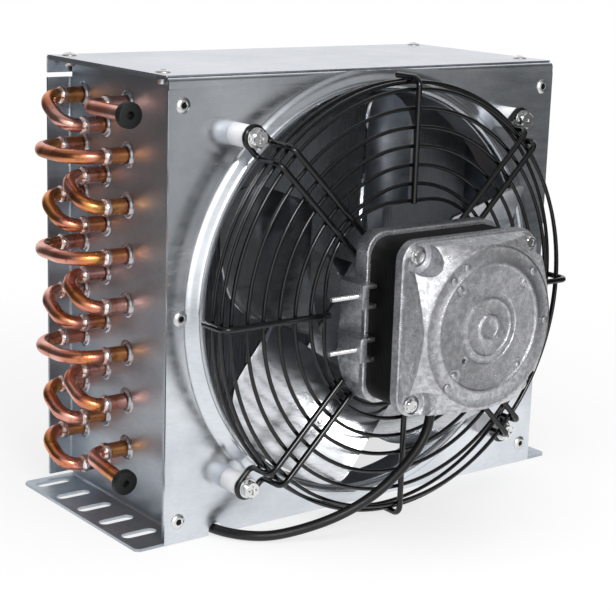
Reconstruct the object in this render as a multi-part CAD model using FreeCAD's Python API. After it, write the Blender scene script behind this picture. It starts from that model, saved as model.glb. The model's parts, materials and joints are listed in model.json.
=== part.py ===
import FreeCAD, Part
import math
import os

# Air-cooled condenser: a finned coil between two tube sheets, a front panel with a round air
# opening, and a fan whose motor sits on a wire guard. Millimetres, +Z up, front towards -Y.
# The origin is the middle of the foot slots, on the underside of the feet.

V = FreeCAD.Vector

# Casing
CASE_WIDTH = 244.0
CASE_HEIGHT = 226.0
CASE_DEPTH = 115.0
SLOT_OFFSET = 5.0            # middle of the foot slots behind the casing's middle
CASE_FRONT = CASE_DEPTH / 2 + SLOT_OFFSET     # front face from the middle of the foot slots
CASE_BACK = CASE_DEPTH / 2 - SLOT_OFFSET      # and the back face
PANEL_T = 1.0
PANEL_BEND = 1.5
PANEL_TOP_DEPTH = 11.0       # front panel's edge folded back under the top panel
PANEL_LIFT = 0.5             # front panel's lower edge above the floor
TOP_LIP = 9.2                # top panel's back edge, folded down
NOTCH_INSET = 25.0           # cable notch in the lower edge, from the casing's left side
NOTCH_WIDTH = 16.0
NOTCH_HEIGHT = 6.5

# Tube sheets
SHEET_T = 1.5
SHEET_BEND = 1.5
SIDE_RECESS = 13.0           # casing's side to the tube sheet's outer face
BACK_FLANGE_DROP = 11.5      # back flange's upper end below the casing's top
RELIEF = 2.0                 # gap between neighbouring flanges
FOOT_OUT = 15.0              # foot's edge beyond the casing's side
FOOT_CHAMFER = 2.0
SLOT_COUNT = 5
SLOT_PITCH = 21.65
SLOT_OUT = 2.5               # middle of the slots beyond the casing's side
SLOT_LENGTH = 19.0
SLOT_WIDTH = 6.6

# Coil
TUBE_R = 3.5
BELL_R = 4.0
TUBE_SIDES = 6               # tubes and wires have flat sides, to keep the model light
TUBE_CLEARANCE = 0.1
LEVELS = 8
LEVEL_MARGIN = 26.0          # casing's height beyond that of the levels of tubes
TUBE_PITCH = (CASE_HEIGHT - LEVEL_MARGIN) / LEVELS
TOP_TUBE_Z = CASE_HEIGHT - 19.1
ROW_PITCH = 21.65
ROW_SETBACK = 57.6           # row of tubes nearest the fan, from the casing's back
ROW_FRONT_Y = CASE_BACK - ROW_SETBACK
BELL_LENGTH = 13.0           # bell mouth from the left tube sheet
BEND_STEPS = 3               # straight chords in a quarter turn
NARROW_REACH = 10.4          # return bend's centre line beyond the bells' mouths
WIDE_REACH = 17.3
LEG_LENGTH = 0.8             # straight end of a return bend
HAIRPIN_STRAIGHT = 3.0       # hairpin's leg outside the right tube sheet
FIN_PITCH = 3.0
FIN_T = 0.3
FIN_DEPTH_FRONT = 10.8       # fins' front edge before the front row
FIN_DEPTH_BACK = 10.8
FIN_EDGE = TUBE_PITCH / 4    # fins' ends beyond the outermost tubes
FIN_END_GAP = 1.0

# Connections
PIPE_R = 3.5
CAP_R = 6.3
CAP_LENGTH = 4.5
CAP_WALL = 1.2
CAP_HOLE_R = 1.6
INLET_OUT = 23.4             # pipe's centre line from the tube sheet's outer face
INLET_ASIDE = 10.4           # cap's face beyond the casing's side
INLET_FORWARD = 41.7         # cap's face before the row of tubes
INLET_DROP = 0.0             # cap's face below its tube
OUTLET_OUT = 21.75
OUTLET_ASIDE = 8.75
OUTLET_FORWARD = 36.9
OUTLET_DROP = 4.3
ELBOW_R = 8.0

# Air opening and guard
FAN_Z = CASE_HEIGHT / 2      # height of the fan's axis
OPENING_R = min(CASE_HEIGHT / 2 - 10.0, CASE_WIDTH / 2 - 19.0)
BEAD_CREST_R = OPENING_R + 4.0
BEAD_ROOT_R = OPENING_R + 7.5
BEAD_HEIGHT = 5.5
COLLAR_DEPTH = 14.0
GUARD_BOLT_SPAN = (OPENING_R + 17.2) * math.sqrt(2)   # side of the square of bolts
GUARD_BOLT_R = 2.5
SPACER_R = 5.5
SPACER_LENGTH = 13.0
WASHER_R = 5.0
WASHER_T = 1.0
BOLT_HEAD_FLATS = 8.0
BOLT_HEAD_T = 3.5
NUT_T = 4.0
RIB_R = 1.5
RING_R = 1.0
RIB_REACH = OPENING_R + 8.0  # centre line of the ribs' side runs
RIB_DEPTH = 16.5             # ribs' front plane before the bolt loops
RIB_PAIR = 10.0              # centre lines of a double rib
RIB_INNER = 31.0
RIB_BEND = 4.5
LOOP_BEND = 3.0
RING_OUTER = RIB_REACH - 5.5
RING_INNER = 59.5
RING_COUNT = 6
RING_STEPS = 36
INNER_LOOP_HALF = 51.0
INNER_LOOP_CORNER = 40.0
SIDE_RING_SETBACKS = (6.0, 12.5)   # side rings behind the ribs' front plane

# Motor
MOTOR_HALF = 42.0
MOTOR_CORNER = 10.0
SHELL_DEPTH = 15.5
STACK_HALF = 40.0
STACK_DEPTH = 20.0
SKIRT_DEPTH = 5.5
COVER_HALF = 41.0
COVER_DEPTH = 14.5           # skirt's edge to the front face
DISC_R = 40.0
DISC_RIM = 0.8
DOME_R = 60.0
FACE_STEP_R = 30.0           # sunk middle of the front face
FACE_STEP = 0.8
SCREW_SPOT = 35.5            # cover screws from the axis, along X and Z
POCKET_R = 8.0
BORE_R = 20.4
CAVITY_R = 35.0
SHELL_WALL = 4.5
COVER_WALL = 3.5
WINDING_IN = 23.0
WINDING_OUT = 34.0
WINDING_DEPTH = 4.5
ROUND_SIDES = 8              # flat sides of small round pieces
CAVITY_SIDES = 12            # the same of the motor's hidden spaces
ROTOR_SIDES = 24
ROTOR_R = 20.0
ROTOR_OVERHANG = 1.5
SHAFT_R = 4.0
RUNNING_GAP = 0.05
SEAT_GAP = 0.02
BEARING_R = 11.0
BEARING_WIDTH = 7.0
HOUSING_R = 14.5
LUG_OUT = 8.5
LUG_WALL = 4.0
LUG_HEIGHT = 11.6
LUG_ARM = 2.0
LUG_DEPTH = 23.5
LUG_START = 6.0              # lug's back edge before the shell's
LUG_ABOVE_AXIS = (13.5, -12.3)
CHEEK_OUT = 4.3              # drafted swelling of the shell's side round the lugs
CHEEK_ABOVE_AXIS = 22.0
CHEEK_BELOW_AXIS = 30.0
STUD_R = 1.25
STUD_LENGTH = 15.0
STUD_HEAD_R = 2.3
STUD_HEAD_T = 1.8
STUD_SETBACK = 4.5           # stud from the lug's front face
MOUNT_SPOT = 24.75           # motor's mounting screws from the axis, along X and Z
MOUNT_SCREW_R = 2.0
MOUNT_HEAD_R = 3.5
MOUNT_HEAD_T = 2.8
COVER_SCREW_FLATS = 7.0
COVER_SCREW_T = 2.8

# Fan
BLADE_COUNT = 5
BLADE_FIRST = 88.0           # degrees from +X towards +Z
BLADE_R = OPENING_R - 3.0
BLADE_ROOT_R = 42.0
BLADE_T = 1.5
BLADE_AHEAD = 25.0           # trailing edge before the front panel
BLADE_BEHIND = 12.0          # leading edge behind it
BLADE_LEADING = (33.0, BLADE_BEHIND - CASE_FRONT)      # across the blade, and along the axis
BLADE_TRAILING = (-29.0, -BLADE_AHEAD - CASE_FRONT)
BLADE_CAMBER = 5.0
LEADING_CORNER = 28.0
TRAILING_CORNER = 12.0
ARM_T = 2.0
ARM_HALF = 11.0
ARM_REACH = 64.0
HUB_R = 12.0
HUB_FRONT = -CASE_FRONT - 17.5
HUB_BACK = -CASE_FRONT + 8.0
FAN_NUT_FLATS = 13.0
FAN_NUT_T = 5.0

# Rivets
RIVET_X = CASE_WIDTH / 2 - 7.5
RIVET_HEIGHTS = (11.5, FAN_Z - 0.5, CASE_HEIGHT - 13.5)
RIVET_HEAD_R = 3.9
RIVET_HEAD_T = 1.2
RIVET_R = 2.0
RIVET_TAIL_R = 2.8
RIVET_TAIL = 3.0
TOP_RIVET_SETBACKS = (18.0, CASE_FRONT + CASE_BACK - 9.0)  # from the front face
TOP_RIVET_X = CASE_WIDTH / 2 - 8.0

# Motor lead
CORD_R = 2.5
GLAND_R = 4.5
GLAND_LENGTH = 6.0
CORE_R = 0.8
CORE_LENGTH = 14.0
CORD_BEND_SHARE = 0.45
CORD_FLOOR = 3.0             # height of the lead's centre line where it lies on the floor
ROUTE_WIDTH = 244.0          # casing's width and front that the route is laid out for
ROUTE_FRONT = 62.5
CORD_ROUTE = (
    (9.5, -103.0, 65.0), (9.5, -103.0, 57.0), (7.2, -103.5, 49.0), (2.4, -104.2, 41.8),
    (-5.2, -104.9, 35.2),
    (-15.0, -105.2, 28.2), (-25.0, -104.4, 21.6), (-37.0, -102.2, 15.6), (-49.5, -98.2, 10.4),
    (-62.0, -91.0, 5.6), (-74.5, -84.8, 3.0), (-86.5, -77.6, 3.0), (-95.0, -67.5, 3.0),
    (-98.4, -54.0, 3.0), (-97.6, -38.0, 3.0), (-94.5, -20.0, 3.0), (-86.0, -1.0, 3.0),
    (-69.0, 14.5, 3.0), (-45.0, 22.0, 3.0), (-17.0, 21.0, 3.0), (11.0, 14.5, 3.0),
    (38.0, 13.0, 3.0), (62.0, 21.0, 3.0),
)

# Worked out from the driving sizes
WEB_X = CASE_WIDTH / 2 - SIDE_RECESS           # tube sheet's outer face
WEB_IN = WEB_X - SHEET_T
TOP_Z = CASE_HEIGHT - PANEL_T                  # underside of the top panel
PANEL_BACK_Y = -CASE_FRONT + PANEL_T
RIB_PLANE = -CASE_FRONT - SPACER_LENGTH - RIB_R - RIB_DEPTH
LOOP_PLANE = RIB_PLANE + RIB_DEPTH
RING_PLANE = RIB_PLANE + RIB_R + RING_R
SHELL_BACK = RIB_PLANE - RIB_R
SHELL_FRONT = SHELL_BACK - SHELL_DEPTH
STACK_FRONT = SHELL_FRONT - STACK_DEPTH
SKIRT_FRONT = STACK_FRONT - SKIRT_DEPTH
FACE_Y = SKIRT_FRONT - COVER_DEPTH
REAR_SEAT_Y = SHELL_BACK - SHELL_WALL          # floor of the rear bearing's seat
FRONT_SEAT_Y = FACE_Y + COVER_WALL


def box(x0, x1, y0, y1, z0, z1):
    return Part.makeBox(x1 - x0, y1 - y0, z1 - z0, V(x0, y0, z0))


def joined(shapes):
    """One solid from pieces that share a volume."""
    return shapes[0].multiFuse(list(shapes[1:])).removeSplitter()


def polygon_offsets(radius, sides):
    """Corners of a regular section whose flat sides lie at the radius."""
    corner = radius / math.cos(math.pi / sides)
    angles = [math.pi * (2 * k + 1) / sides for k in range(sides)]
    return [(corner * math.cos(a), corner * math.sin(a)) for a in angles]


def prism(radius, start, axis, length, sides=ROUND_SIDES):
    """Straight bar of a regular section, with its flat sides at the radius."""
    axis = V(axis).normalize()
    side = V(0, 0, 1) if abs(axis.z) < 0.9 else V(1, 0, 0)
    other = axis.cross(side)
    ring = [start + side * a + other * b for a, b in polygon_offsets(radius, sides)]
    return Part.Face(Part.makePolygon(ring + ring[:1])).extrude(axis * length)


def rounded(points, radii, steps):
    """Points of a route whose corners are arcs, each drawn as a few equal chords."""
    route = [points[0]]
    for i in range(1, len(points) - 1):
        before = (points[i - 1] - points[i]).normalize()
        after = (points[i + 1] - points[i]).normalize()
        half_turn = (math.pi - before.getAngle(after)) / 2
        radius = radii[i - 1]
        reach = radius * math.tan(half_turn)
        centre = points[i] + (before + after).normalize() * (radius / math.cos(half_turn))
        first = points[i] + before * reach - centre
        last = points[i] + after * reach - centre
        for k in range(steps + 1):
            a = math.sin(2 * half_turn * (1 - k / steps))
            b = math.sin(2 * half_turn * k / steps)
            point = centre + (first * a + last * b) * (1 / math.sin(2 * half_turn))
            if (point - route[-1]).Length > 1e-6:
                route.append(point)
    if (points[-1] - route[-1]).Length > 1e-6:
        route.append(points[-1])
    return route


def swept(points, section, facing, closed=False):
    """Bar with flat sides along the points, mitred at each of them."""
    count = len(points)
    links = count if closed else count - 1
    headings = [(points[(i + 1) % count] - points[i]).normalize() for i in range(links)]
    mitres = []
    for i in range(links + 1):
        if closed:
            mitres.append(headings[i - 1] + headings[i % links])
        elif i == 0 or i == links:
            mitres.append(V(headings[min(i, links - 1)]))
        else:
            mitres.append(headings[i - 1] + headings[i])
    side = headings[0].cross(facing)
    ring = [points[0] + facing * a + side * b for a, b in section]
    rings = []
    for i in range(links + 1):
        origin = points[i % count]
        heading = headings[max(i - 1, 0)]
        cut = mitres[i]
        ring = [p + heading * ((origin - p).dot(cut) / heading.dot(cut)) for p in ring]
        rings.append(ring)
    if closed:
        rings[-1] = rings[0]
    faces = []
    for near, far in zip(rings, rings[1:]):
        for k in range(len(section)):
            n = (k + 1) % len(section)
            faces.append(Part.Face(Part.makePolygon([near[k], near[n], far[n], far[k], near[k]])))
    if not closed:
        faces += [Part.Face(Part.makePolygon(end + end[:1])) for end in (rings[0], rings[-1])]
    shell = Part.makeShell(faces)
    shell.sewShape()
    solid = Part.makeSolid(shell)
    return solid if solid.Volume > 0 else solid.reversed()


def folded(points, thickness, bend, along):
    """Sheet folded along a route of its middle surface, all its bends the same way round."""
    arcs = []
    for i in range(1, len(points) - 1):
        before = (points[i - 1] - points[i]).normalize()
        after = (points[i + 1] - points[i]).normalize()
        radius = bend + thickness / 2
        centre = points[i] + (before + after) * radius
        arcs.append((centre, -after, -(before + after).normalize(), -before, radius))
    skins = []
    for side in (thickness / 2, -thickness / 2):
        edges = []
        last = points[0] + arcs[0][1] * side
        for centre, first_way, middle_way, last_way, radius in arcs:
            reach = radius + side
            start, middle, end = (centre + w * reach for w in (first_way, middle_way, last_way))
            edges.append(Part.LineSegment(last, start).toShape())
            edges.append(Part.Arc(start, middle, end).toShape())
            last = end
        finish = points[-1] + arcs[-1][3] * side
        edges.append(Part.LineSegment(last, finish).toShape())
        skins.append((edges, points[0] + arcs[0][1] * side, finish))
    ends = [Part.LineSegment(skins[0][k], skins[1][k]).toShape() for k in (1, 2)]
    outline = Part.Wire(Part.__sortEdges__(skins[0][0] + skins[1][0] + ends))
    return Part.Face(outline).extrude(along)


def turned(profile):
    """Solid of revolution about the fan's axis, from corners of radius and Y."""
    corners = [V(r, y, FAN_Z) for r, y in profile]
    face = Part.Face(Part.makePolygon(corners + corners[:1]))
    return face.revolve(V(0, 0, FAN_Z), V(0, 1, 0), 360)


def tube(outer, inner, y0, y1):
    return turned([(inner, y0), (outer, y0), (outer, y1), (inner, y1)])


def block(half, corner, y0, y1):
    """Square motor part with rounded corners."""
    solid = box(-half, half, y0, y1, FAN_Z - half, FAN_Z + half)
    along = [e for e in solid.Edges if abs(e.tangentAt(e.FirstParameter).y) > 0.9]
    return solid.makeFillet(corner, along)


def square_spots(reach):
    """The four corners of a square about the fan's axis."""
    return [(sx * reach, FAN_Z + sz * reach) for sx in (-1, 1) for sz in (-1, 1)]


def radial(angle):
    return V(math.cos(math.radians(angle)), 0, math.sin(math.radians(angle)))


def around(angle):
    return V(-math.sin(math.radians(angle)), 0, math.cos(math.radians(angle)))


def at_axis(angle, reach, aside, y):
    """Point at a distance from the fan's axis in a direction, with an offset beside it."""
    return V(0, y, FAN_Z) + radial(angle) * reach + around(angle) * aside


# Coil geometry
def tube_place(row, level):
    """Y and Z of a tube; rows are C (front), B and A (back), levels count from the top."""
    row_index = "CBA".index(row)
    lower = TUBE_PITCH / 2 if row == "B" else 0.0
    return ROW_FRONT_Y + row_index * ROW_PITCH, TOP_TUBE_Z - lower - level * TUBE_PITCH


ALL_TUBES = [(row, level) for row in "CBA" for level in range(LEVELS)]
FIN_Y0 = ROW_FRONT_Y - FIN_DEPTH_FRONT
FIN_Y1 = ROW_FRONT_Y + 2 * ROW_PITCH + FIN_DEPTH_BACK
FIN_Z0 = TOP_TUBE_Z - TUBE_PITCH / 2 - (LEVELS - 1) * TUBE_PITCH - FIN_EDGE
FIN_Z1 = TOP_TUBE_Z + FIN_EDGE


def hairpin_pairs():
    """Tubes joined by a bend behind the right tube sheet."""
    pairs = []
    for level in range(LEVELS):
        pairs.append((("C", level), ("B", level)))
        if level % 2 == 0:
            pairs.append((("A", level), ("A", level + 1)))
    return pairs


def narrow_pairs():
    """Tubes joined by a short return bend on the left."""
    pairs = [(("A", level), ("B", level)) for level in range(0, LEVELS, 2)]
    pairs += [(("B", level), ("C", level + 1)) for level in range(1, LEVELS - 1, 2)]
    pairs.append((("A", LEVELS - 1), ("B", LEVELS - 1)))
    return pairs


def wide_pairs():
    """Tubes of one level joined across the middle row."""
    return [(("A", level), ("C", level)) for level in range(1, LEVELS - 1, 2)]


def u_bend(pair, x_leg, apex, section):
    """Tube with two legs along X, and a bend that is flat in its middle where its reach is short."""
    (y0, z0), (y1, z1) = tube_place(*pair[0]), tube_place(*pair[1])
    half = math.hypot(y1 - y0, z1 - z0) / 2
    radius = min(half, abs(apex - x_leg) - LEG_LENGTH)
    corners = [V(x_leg, y0, z0), V(apex, y0, z0), V(apex, y1, z1), V(x_leg, y1, z1)]
    return swept(rounded(corners, (radius, radius), BEND_STEPS), section, V(0, 0, 1))


def front_shroud():
    middle = PANEL_T / 2
    half = CASE_WIDTH / 2
    front = -CASE_FRONT
    route = [V(-half, front + middle, PANEL_LIFT), V(-half, front + middle, TOP_Z - middle),
             V(-half, front + PANEL_TOP_DEPTH, TOP_Z - middle)]
    panel = folded(route, PANEL_T, PANEL_BEND, V(CASE_WIDTH, 0, 0))
    seat = BEAD_ROOT_R + PANEL_T
    panel = panel.cut(tube(seat, 0, front - 1, PANEL_BACK_Y + 1))
    crest = front - BEAD_HEIGHT
    lip = front + COLLAR_DEPTH
    front_skin = [(seat, front), (BEAD_ROOT_R, front), (BEAD_CREST_R, crest),
                  (OPENING_R + 1.5, crest), (OPENING_R, crest + 2), (OPENING_R, lip)]
    back_skin = [(OPENING_R + PANEL_T, lip), (OPENING_R + PANEL_T, crest + PANEL_T + 1),
                 (BEAD_CREST_R - 0.6, crest + PANEL_T), (BEAD_ROOT_R - 0.7, PANEL_BACK_Y),
                 (seat, PANEL_BACK_Y)]
    shroud = joined([panel, turned(front_skin + back_skin)])
    notch = NOTCH_INSET - half
    cuts = [box(notch - NOTCH_WIDTH / 2, notch + NOTCH_WIDTH / 2, front - 1,
                PANEL_BACK_Y + 1, 0, NOTCH_HEIGHT)]
    for x, z in square_spots(GUARD_BOLT_SPAN / 2):
        cuts.append(prism(GUARD_BOLT_R + TUBE_CLEARANCE, V(x, front - 1, z), V(0, 1, 0), 3))
    for x in (-RIVET_X, RIVET_X):
        for z in RIVET_HEIGHTS:
            cuts.append(prism(RIVET_R, V(x, front - 1, z), V(0, 1, 0), 3))
    return shroud.cut(cuts)


def top_panel():
    middle = PANEL_T / 2
    half = CASE_WIDTH / 2
    start = PANEL_BEND + PANEL_T - CASE_FRONT
    route = [V(-half, start, CASE_HEIGHT - middle), V(-half, CASE_BACK - middle, CASE_HEIGHT - middle),
             V(-half, CASE_BACK - middle, CASE_HEIGHT - TOP_LIP)]
    panel = folded(route, PANEL_T, PANEL_BEND, V(CASE_WIDTH, 0, 0))
    holes = [prism(RIVET_R, V(x, setback - CASE_FRONT, TOP_Z - 1), V(0, 0, 1), 4)
             for x in (-TOP_RIVET_X, TOP_RIVET_X) for setback in TOP_RIVET_SETBACKS]
    return panel.cut(holes)


def foot_slot(x, y):
    """Cutter for a slot with round ends, along X."""
    half = (SLOT_LENGTH - SLOT_WIDTH) / 2
    r = SLOT_WIDTH / 2
    ends = [Part.makeCylinder(r, 4, V(x + way * half, y, -1)) for way in (-1, 1)]
    return joined([box(x - half, x + half, y - r, y + r, -1, 3)] + ends)


def tube_sheet(way):
    """Channel with flanges folded outwards on all four sides; way is -1 on the left."""
    middle = SHEET_T / 2
    web = way * (WEB_X - middle)
    edge = way * CASE_WIDTH / 2
    foot_edge = way * (CASE_WIDTH / 2 + FOOT_OUT)
    front = PANEL_BACK_Y + middle
    back = CASE_BACK - middle
    top = TOP_Z - middle
    inset = SHEET_T + SHEET_BEND
    centre_y = (front + back) / 2
    web_plate = box(min(web - middle, web + middle), max(web - middle, web + middle),
                    PANEL_BACK_Y + inset, CASE_BACK - inset, inset, TOP_Z - inset)
    low = SHEET_T + RELIEF
    front_part = folded([V(edge, front, low), V(web, front, low), V(web, centre_y, low)],
                        SHEET_T, SHEET_BEND, V(0, 0, TOP_Z - SHEET_T - RELIEF - low))
    back_part = folded([V(edge, back, low), V(web, back, low), V(web, centre_y, low)],
                       SHEET_T, SHEET_BEND, V(0, 0, CASE_HEIGHT - BACK_FLANGE_DROP - low))
    top_start = PANEL_TOP_DEPTH - CASE_FRONT + RELIEF / 2
    top_part = folded([V(edge, top_start, top), V(web, top_start, top),
                       V(web, top_start, top - 2 * inset)],
                      SHEET_T, SHEET_BEND, V(0, CASE_BACK - inset - top_start, 0))
    foot = folded([V(foot_edge, PANEL_BACK_Y, middle), V(web, PANEL_BACK_Y, middle),
                   V(web, PANEL_BACK_Y, 2 * inset)],
                  SHEET_T, SHEET_BEND, V(0, CASE_BACK - PANEL_BACK_Y, 0))
    corners = [e for e in foot.Edges if abs(e.CenterOfMass.x - foot_edge) < 1e-6
               and abs(e.tangentAt(e.FirstParameter).z) > 0.9]
    foot = foot.makeChamfer(FOOT_CHAMFER, corners)
    reliefs = [box(min(web, edge) - SHEET_T, max(web, edge) + SHEET_T, y0, y1, SHEET_T, low)
               for y0, y1 in ((PANEL_BACK_Y - 1, PANEL_BACK_Y + inset),
                              (CASE_BACK - inset, CASE_BACK + 1))]
    sheet = joined([web_plate, front_part, back_part, top_part, foot]).cut(reliefs)
    cuts = []
    for row, level in ALL_TUBES:
        y, z = tube_place(row, level)
        cuts.append(prism(TUBE_R + TUBE_CLEARANCE, V(way * (WEB_IN - 1), y, z), V(way, 0, 0),
                          SHEET_T + 2, TUBE_SIDES))
    for k in range(SLOT_COUNT):
        cuts.append(foot_slot(way * (CASE_WIDTH / 2 + SLOT_OUT),
                              (k - (SLOT_COUNT - 1) / 2) * SLOT_PITCH))
    for z in RIVET_HEIGHTS:
        cuts.append(prism(RIVET_R, V(way * RIVET_X, PANEL_BACK_Y - 1, z), V(0, 1, 0), 4))
    for setback in TOP_RIVET_SETBACKS:
        cuts.append(prism(RIVET_R, V(way * TOP_RIVET_X, setback - CASE_FRONT, TOP_Z - 3),
                          V(0, 0, 1), 4))
    return sheet.cut(cuts)


def fins():
    span = 2 * (WEB_IN - FIN_END_GAP) - FIN_T
    count = int(span / FIN_PITCH) + 1
    first = -(count - 1) * FIN_PITCH / 2
    plates = []
    for k in range(count):
        x = first + k * FIN_PITCH
        plates.append(box(x - FIN_T / 2, x + FIN_T / 2, FIN_Y0, FIN_Y1, FIN_Z0, FIN_Z1))
    return Part.makeCompound(plates)


def hairpin_tubes():
    """Tubes bent on the right, with bell mouths that stand out of the left tube sheet."""
    section = polygon_offsets(TUBE_R, TUBE_SIDES)
    pieces = []
    for pair in hairpin_pairs():
        (y0, z0), (y1, z1) = tube_place(*pair[0]), tube_place(*pair[1])
        apex = WEB_X + HAIRPIN_STRAIGHT + math.hypot(y1 - y0, z1 - z0) / 2
        body = [u_bend(pair, -WEB_X, apex, section)]
        for y, z in ((y0, z0), (y1, z1)):
            body.append(prism(BELL_R, V(-WEB_X, y, z), V(-1, 0, 0), BELL_LENGTH, TUBE_SIDES))
        pieces.append(joined(body))
    return Part.makeCompound(pieces)


def return_bend(pair, reach):
    section = polygon_offsets(TUBE_R, TUBE_SIDES)
    mouth = -WEB_X - BELL_LENGTH
    return u_bend(pair, mouth, mouth - reach, section)


def pipe_end(level, aside, forward, drop):
    """Middle of a connection's cap, at its face."""
    y, z = tube_place("C", level)
    return V(-CASE_WIDTH / 2 - aside, y - forward, z - drop)


def connection_pipe(level, out, end):
    """Pipe from a stub in the front row, round an elbow and forward into its cap."""
    y, z = tube_place("C", level)
    start = V(-WEB_X - BELL_LENGTH, y, z)
    corner = V(-WEB_X - out, y, z)
    inside_cap = end + V(0, CAP_WALL, 0)
    route = rounded([start, corner, inside_cap], (ELBOW_R,), BEND_STEPS)
    return swept(route, polygon_offsets(PIPE_R, TUBE_SIDES), V(0, 0, 1))


def pipe_cap(level, out, end):
    """Moulded cap pushed over a pipe's end, with a vent in its face."""
    y, z = tube_place("C", level)
    way = (V(-WEB_X - out, y, z) - end).normalize()
    cap = prism(CAP_R, end, way, CAP_LENGTH)
    vent = prism(CAP_HOLE_R, end - way, way, CAP_WALL + 2)
    pipe = connection_pipe(level, out, end)
    return cap.cut([vent, pipe, prism(PIPE_R * 0.9, end + way * CAP_WALL, way, 2)])


def front_rivets():
    pieces = []
    for x in (-RIVET_X, RIVET_X):
        for z in RIVET_HEIGHTS:
            face = V(x, -CASE_FRONT, z)
            tail_y = PANEL_T + SHEET_T
            pieces.append(joined([
                prism(RIVET_HEAD_R, face, V(0, -1, 0), RIVET_HEAD_T),
                prism(RIVET_R, face, V(0, 1, 0), tail_y),
                prism(RIVET_TAIL_R, face + V(0, tail_y, 0), V(0, 1, 0), RIVET_TAIL)]))
    return Part.makeCompound(pieces)


def top_rivets():
    pieces = []
    for x in (-TOP_RIVET_X, TOP_RIVET_X):
        for setback in TOP_RIVET_SETBACKS:
            face = V(x, setback - CASE_FRONT, CASE_HEIGHT)
            tail_z = PANEL_T + SHEET_T
            pieces.append(joined([
                prism(RIVET_HEAD_R, face, V(0, 0, 1), RIVET_HEAD_T),
                prism(RIVET_R, face, V(0, 0, -1), tail_z),
                prism(RIVET_TAIL_R, face - V(0, 0, tail_z), V(0, 0, -1), RIVET_TAIL)]))
    return Part.makeCompound(pieces)


def guard_rings():
    square = polygon_offsets(RING_R, 4)
    facing = V(0, 1, 0)
    side_radius = RIB_REACH - RIB_R - RING_R
    ring_gap = (RING_OUTER - RING_INNER) / (RING_COUNT - 1)
    rings = [(RING_OUTER - k * ring_gap, RING_PLANE) for k in range(RING_COUNT)]
    rings += [(side_radius, RIB_PLANE + setback) for setback in SIDE_RING_SETBACKS]
    pieces = []
    for radius, y in rings:
        points = [at_axis(360.0 * k / RING_STEPS, radius, 0, y) for k in range(RING_STEPS)]
        pieces.append(swept(points, square, facing, closed=True))
    inset = INNER_LOOP_HALF - INNER_LOOP_CORNER
    corner_steps = RING_STEPS // 6
    loop = []
    for quarter, (x, z) in enumerate(((inset, inset), (-inset, inset), (-inset, -inset),
                                      (inset, -inset))):
        for k in range(corner_steps + 1):
            turn = 90.0 * (quarter + k / corner_steps)
            loop.append(V(x, RING_PLANE, FAN_Z + z) + radial(turn) * INNER_LOOP_CORNER)
    pieces.append(swept(loop, square, facing, closed=True))
    return Part.makeCompound(pieces)


def guard_single_ribs():
    hexagon = polygon_offsets(RIB_R, TUBE_SIDES)
    pieces = []
    for angle in (0, 90, 180, 270):
        corners = [at_axis(angle, INNER_LOOP_HALF - RING_R, 0, RIB_PLANE),
                   at_axis(angle, RIB_REACH, 0, RIB_PLANE),
                   at_axis(angle, RIB_REACH, 0, LOOP_PLANE)]
        pieces.append(swept(rounded(corners, (RIB_BEND,), BEND_STEPS), hexagon, V(0, 1, 0)))
    return Part.makeCompound(pieces)


def guard_double_ribs():
    """Wires that run out from under the motor, back to the bolts, round them and in again."""
    hexagon = polygon_offsets(RIB_R, TUBE_SIDES)
    aside = RIB_PAIR / 2
    bolt_reach = GUARD_BOLT_SPAN / math.sqrt(2)
    pieces = []
    for angle in (45, 135, 225, 315):
        corners = []
        for side in (-aside, aside):
            leg = [at_axis(angle, RIB_INNER, side, RIB_PLANE),
                   at_axis(angle, RIB_REACH, side, RIB_PLANE),
                   at_axis(angle, RIB_REACH, side, LOOP_PLANE),
                   at_axis(angle, bolt_reach + aside, side, LOOP_PLANE)]
            corners += leg if side < 0 else leg[::-1]
        radii = (RIB_BEND, LOOP_BEND, aside, aside, LOOP_BEND, RIB_BEND)
        pieces.append(swept(rounded(corners, radii, BEND_STEPS), hexagon, V(0, 1, 0)))
    return Part.makeCompound(pieces)


def per_bolt(make):
    spots = square_spots(GUARD_BOLT_SPAN / 2)
    return Part.makeCompound([make(V(x, 0, z)) for x, z in spots])


def ringed(outer, inner, start, way, length, sides=ROUND_SIDES):
    """Short sleeve or washer."""
    solid = prism(outer, start, way, length, sides)
    return solid.cut(prism(inner, start - way, way, length + 2, sides))


def guard_spacer(place):
    return ringed(SPACER_R, GUARD_BOLT_R, place + V(0, -CASE_FRONT, 0), V(0, -1, 0), SPACER_LENGTH)


def guard_washer(place):
    return ringed(WASHER_R, GUARD_BOLT_R, place + V(0, LOOP_PLANE - RIB_R, 0), V(0, -1, 0), WASHER_T)


def guard_bolt(place):
    seat = LOOP_PLANE - RIB_R - WASHER_T
    head = prism(BOLT_HEAD_FLATS / 2, place + V(0, seat, 0), V(0, -1, 0), BOLT_HEAD_T, 6)
    end = PANEL_BACK_Y + NUT_T + 1
    return joined([head, prism(GUARD_BOLT_R, place + V(0, seat, 0), V(0, 1, 0), end - seat)])


def guard_nut(place):
    start = place + V(0, PANEL_BACK_Y, 0)
    nut = prism(BOLT_HEAD_FLATS / 2, start, V(0, 1, 0), NUT_T, 6)
    return nut.cut(prism(GUARD_BOLT_R, start - V(0, 1, 0), V(0, 1, 0), NUT_T + 2))


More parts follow.
